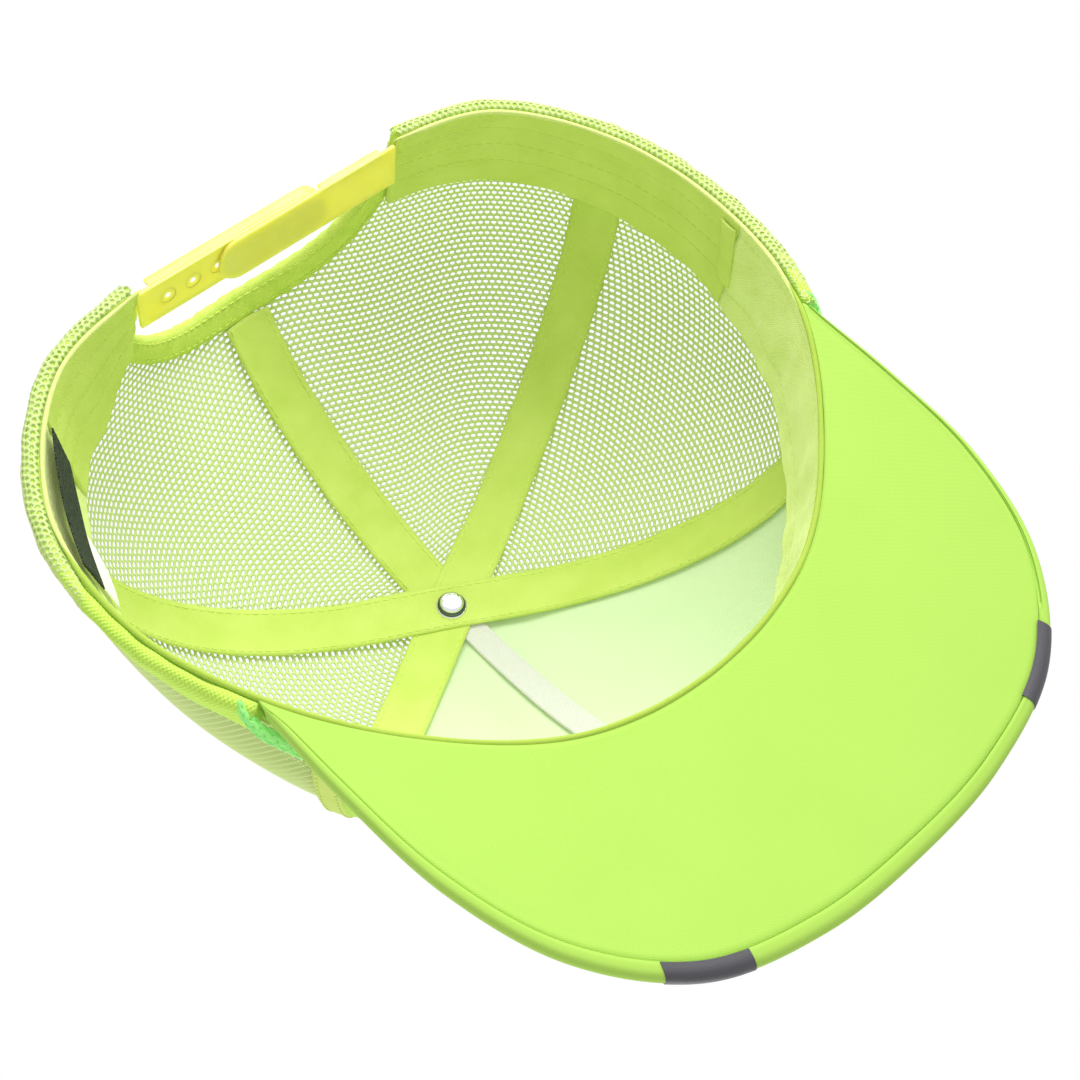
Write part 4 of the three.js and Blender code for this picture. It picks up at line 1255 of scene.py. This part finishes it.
def addRope():
    line = ropeLine()
    lengths = lengthsAlong(line)
    places = np.arange(0, lengths[-1], rope["step"])
    centre = pathAt(line, lengths, places)
    _, side, up = frameAlong(centre)
    fromEnd = np.minimum(places, lengths[-1] - places)
    taper = smoothStep(-2, 4, fromEnd) * (0.62 + 0.38 * smoothStep(4, 26, fromEnd))
    wide, high = (rope["strand"] * share * taper[:, None, None] for share in (1.15, 0.72))
    angle = np.linspace(0, 2 * np.pi, 8, endpoint=False)[None, :, None]
    cloth = np.stack(np.broadcast_arrays(np.arange(8)[None] * 0.35, places[:, None]), -1)
    pairs = rope["strands"] / 2
    turns = 2 * np.pi * places / rope["lay"]
    parts = []
    for strand in range(rope["strands"]):
        way = 1 if strand % 2 else -1
        turn = (way * turns + 2 * np.pi * (strand // 2) / pairs)[:, None]
        cross = np.cos(pairs * turns + way * np.pi / 2)  # over one strand, under the next
        radius = (rope["radius"] - rope["strand"] - 0.1 + 0.3 * cross) * taper
        out = np.cos(turn) * side + np.sin(turn) * up
        strandPath = centre + radius[:, None] * out
        flow = unit(np.gradient(strandPath, axis=0))
        out = unit(out - np.sum(out * flow, 1, keepdims=True) * flow)
        beside = np.cross(flow, out)[:, None]
        rings = strandPath[:, None] + wide * np.cos(angle) * beside + high * np.sin(angle) * out[:, None]
        parts.append(tubePart(rings, cloth))
    addPiece("visor_rope_braided", parts, ropeCloth, ["visor_rope"])


addRope()
print("rope braided")

strap = {"thick": 1.2, "rim": 1.1, "rimHeight": 2.6, "innerRim": 1.5, "plainEnd": 4.5, "bevel": 0.3,
         "lapEnd": -16.5, "holes": 7, "firstHole": 32.0, "pitch": 7.7, "hole": 2.3, "bore": 0.75}
strapHalves = (("snap_strap_left", "strap_left", 1), ("snap_strap_right", "strap_right", -1))


# The moulded half is the CAD shape with its arrises rounded, a raised rim and rings round the holes.
def strapHalf(node, body):
    work = bmesh.new()
    work.from_mesh(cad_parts[node].data)
    bmesh.ops.remove_doubles(work, verts=work.verts, dist=1e-6)
    bmesh.ops.dissolve_limit(work, angle_limit=math.radians(3), verts=work.verts, edges=work.edges)
    mesh = bpy.data.meshes.new(f"{node}_moulded")
    work.to_mesh(mesh)
    work.free()
    piece = bpy.data.objects.new(f"{node}_moulded", mesh)
    bpy.context.scene.collection.objects.link(piece)
    bevel = piece.modifiers.new("rounded arrises", "BEVEL")
    bevel.width = strap["bevel"] / 1000
    bevel.segments = 3
    bevel.limit_method = "ANGLE"
    bevel.angle_limit = math.radians(35)
    mesh.shade_smooth()
    mesh.set_sharp_from_angle(angle=math.radians(40))
    mesh.materials.clear()
    mesh.materials.append(strapPlastic)
    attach(piece, body)
    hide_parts(node)


def strapRims():
    for node, body, side in strapHalves:
        low, high = (np.array(corner) * 1000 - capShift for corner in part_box(node))
        radius = (high[2] - low[2]) / 2
        middle = (high[2] + low[2]) / 2
        tip = low[0] + radius if side > 0 else high[0] - radius
        end = high[0] - strap["plainEnd"] if side > 0 else low[0] + strap["plainEnd"]
        face = low[1] + strap["thick"]
        inset = radius - strap["rim"] / 2
        angle = np.linspace(-np.pi / 2, np.pi / 2, 24)
        bend = np.stack([tip - side * inset * np.cos(angle), face + 0 * angle,
                         middle + inset * np.sin(angle)], -1)
        straight = np.linspace(0, 1, 12)[:-1, None]
        lower = np.array([end, face, middle - inset]) * (1 - straight) + bend[0] * straight
        upper = np.array([end, face, middle + inset]) * (1 - straight) + bend[-1] * straight
        path = np.vstack([lower, bend, upper[::-1]])
        height = strap["rimHeight"]
        paths = [path]
        if side < 0:  # only where the other half does not lie over it
            height = strap["innerRim"]
            paths = [np.linspace([end, face, z], [strap["lapEnd"], face, z], 8)
                     for z in (middle - inset, middle + inset)]
        half = strap["rim"] / 2
        section = [(-half, -0.3), (-half, height * 0.7), (-half * 0.5, height), (half * 0.5, height),
                   (half, height * 0.7), (half, -0.3)]
        parts = []
        for path in paths:
            cross = np.cross(unit(np.gradient(path, axis=0)), (0, 1.0, 0))
            parts.append(tubePart(np.stack([path + a * cross + (0, b, 0) for a, b in section], 1)))
        addPiece(f"{node}_rim", parts, strapPlastic, body=body, sharp=60)


# Each hole has a moulded collar, which leaves only a small opening on the inside.
def holeCollars():
    low, high = (np.array(corner) * 1000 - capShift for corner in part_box("snap_strap_left"))
    angle = np.linspace(0, 2 * np.pi, 28, endpoint=False)
    section = [(strap["hole"] + 0.1, 0.15), (strap["bore"] + 0.3, 0.15), (strap["bore"], 0.35),
               (strap["bore"] + 0.9, 0.7), (strap["hole"] + 0.1, 0.7)]
    parts = []
    for i in range(strap["holes"]):
        centre = np.array([strap["firstHole"] - i * strap["pitch"], low[1], (low[2] + high[2]) / 2])
        rings = [np.stack([r * np.cos(angle), y + 0 * angle, r * np.sin(angle)], -1) for r, y in section]
        parts.append(tubePart(np.stack(rings, 1) + centre, loop=True))
    addPiece("snap_strap_left_collars", parts, strapPlastic, body="strap_left", sharp=40)


for strapNode, strapBody, _ in strapHalves:
    strapHalf(strapNode, strapBody)
strapRims()
holeCollars()


def lathePart(profile, segments, centre):
    angle = np.linspace(0, 2 * np.pi, segments, endpoint=False)
    radius = np.array([max(r, 0.001) for r, _ in profile])
    height = np.array([z for _, z in profile])
    x, y = radius[:, None] * np.cos(angle), radius[:, None] * np.sin(angle)
    return tubePart(np.stack([x, y, height[:, None] + 0 * angle], -1) + centre)


button = {
    "rivetCap": [(0, -2.0), (1.9, -1.98), (3.0, -1.88), (3.35, -1.65), (3.45, -1.35), (3.3, -1.1), (0, -1.1)],
    "rivetGroove": [(0, -1.2), (3.35, -1.2), (3.8, -0.7), (4.1, -0.2), (4.1, 0.3), (0, 0.3)],
    "rivetFlange": [(0, -0.1), (4.1, -0.1), (4.35, 0.0), (4.5, 0.25), (4.35, 0.7), (3.4, 0.9), (0, 0.9)],
    "dome": [(0, 5.1), (6.9, 5.0), (7.35, 5.6), (7.4, 6.3), (7.15, 7.1), (6.4, 8.0), (5.1, 8.8), (3.4, 9.4),
             (1.6, 9.75), (0, 9.85)],
}


def addButton():
    centre = np.array([0, pattern["apexY"], pattern["apexZ"]])
    cap, groove, flange = (lathePart(button[key], 64, centre)
                           for key in ("rivetCap", "rivetGroove", "rivetFlange"))
    addPiece("rivet_cap_polished", [cap, flange], polishedNickel, ["button_rivet"], sharp=60)
    addPiece("rivet_groove", [groove], darkNickel, sharp=60)
    dome = lathePart(button["dome"], 48, centre)
    addPiece("crown_button_covered", [dome], panelCloth, ["crown_button"])


addButton()

# Lapped seams outside the crown, twin stitched.
seamCover = {"width": 6.4, "low": 3.7, "high": 4.5, "frontHigh": 5.2, "stitchLanes": (-2.1, 2.1)}


def addOuterSeams():
    rear, side = pattern["sideRearSeam"], pattern["frontSideSeam"]
    seams = {"rear": (0.0, pattern["archHeight"] + tape["overArch"]),
             "left_rear": (rear, 11), "right_rear": (1 - rear, 11),
             "left_front": (side, 4.6), "right_front": (1 - side, 4.6), "front": (0.5, 4.6)}
    for name, (seam, rise) in seams.items():
        high = seamCover["frontHigh"] if name in ("front", "left_front", "right_front") else seamCover["high"]
        turns, line = halfLine(seam, rise, 5.6)
        lanes = np.linspace(-seamCover["width"] / 2, seamCover["width"] / 2, 9)
        arch = 1 - (np.abs(lanes) / lanes[-1]) ** 4
        lower = tapeLanes(seam, turns, line, lanes, seamCover["low"] - 1 + 0 * turns[:, None] + 0 * lanes, 1)
        upper = tapeLanes(seam, turns, line, lanes, high - 0.5 + 0.5 * arch[None] + 0 * turns[:, None], 1)
        along = np.arange(len(turns))[:, None] * tape["stepLength"]
        cloth = np.stack(np.broadcast_arrays(lanes[None], along), -1)
        material = panelCloth if name == "front" else tapeCloth
        addPiece(f"outer_seam_{name}", [sheetPart(lower, upper, cloth)], material)
        rows = []
        for lane in seamCover["stitchLanes"]:
            path = tapeLanes(seam, turns, line, [lane], high + 0.02 + 0 * turns[:, None], 1)[:, 0]
            above = tapeLanes(seam, turns, line, [lane], high + 1.02 + 0 * turns[:, None], 1)[:, 0]
            rows.append(stitchPart(path, above - path, stitch))
        addPiece(f"outer_seam_stitches_{name}", rows, threadCloth)


addOuterSeams()
print("seams, strap and button done")
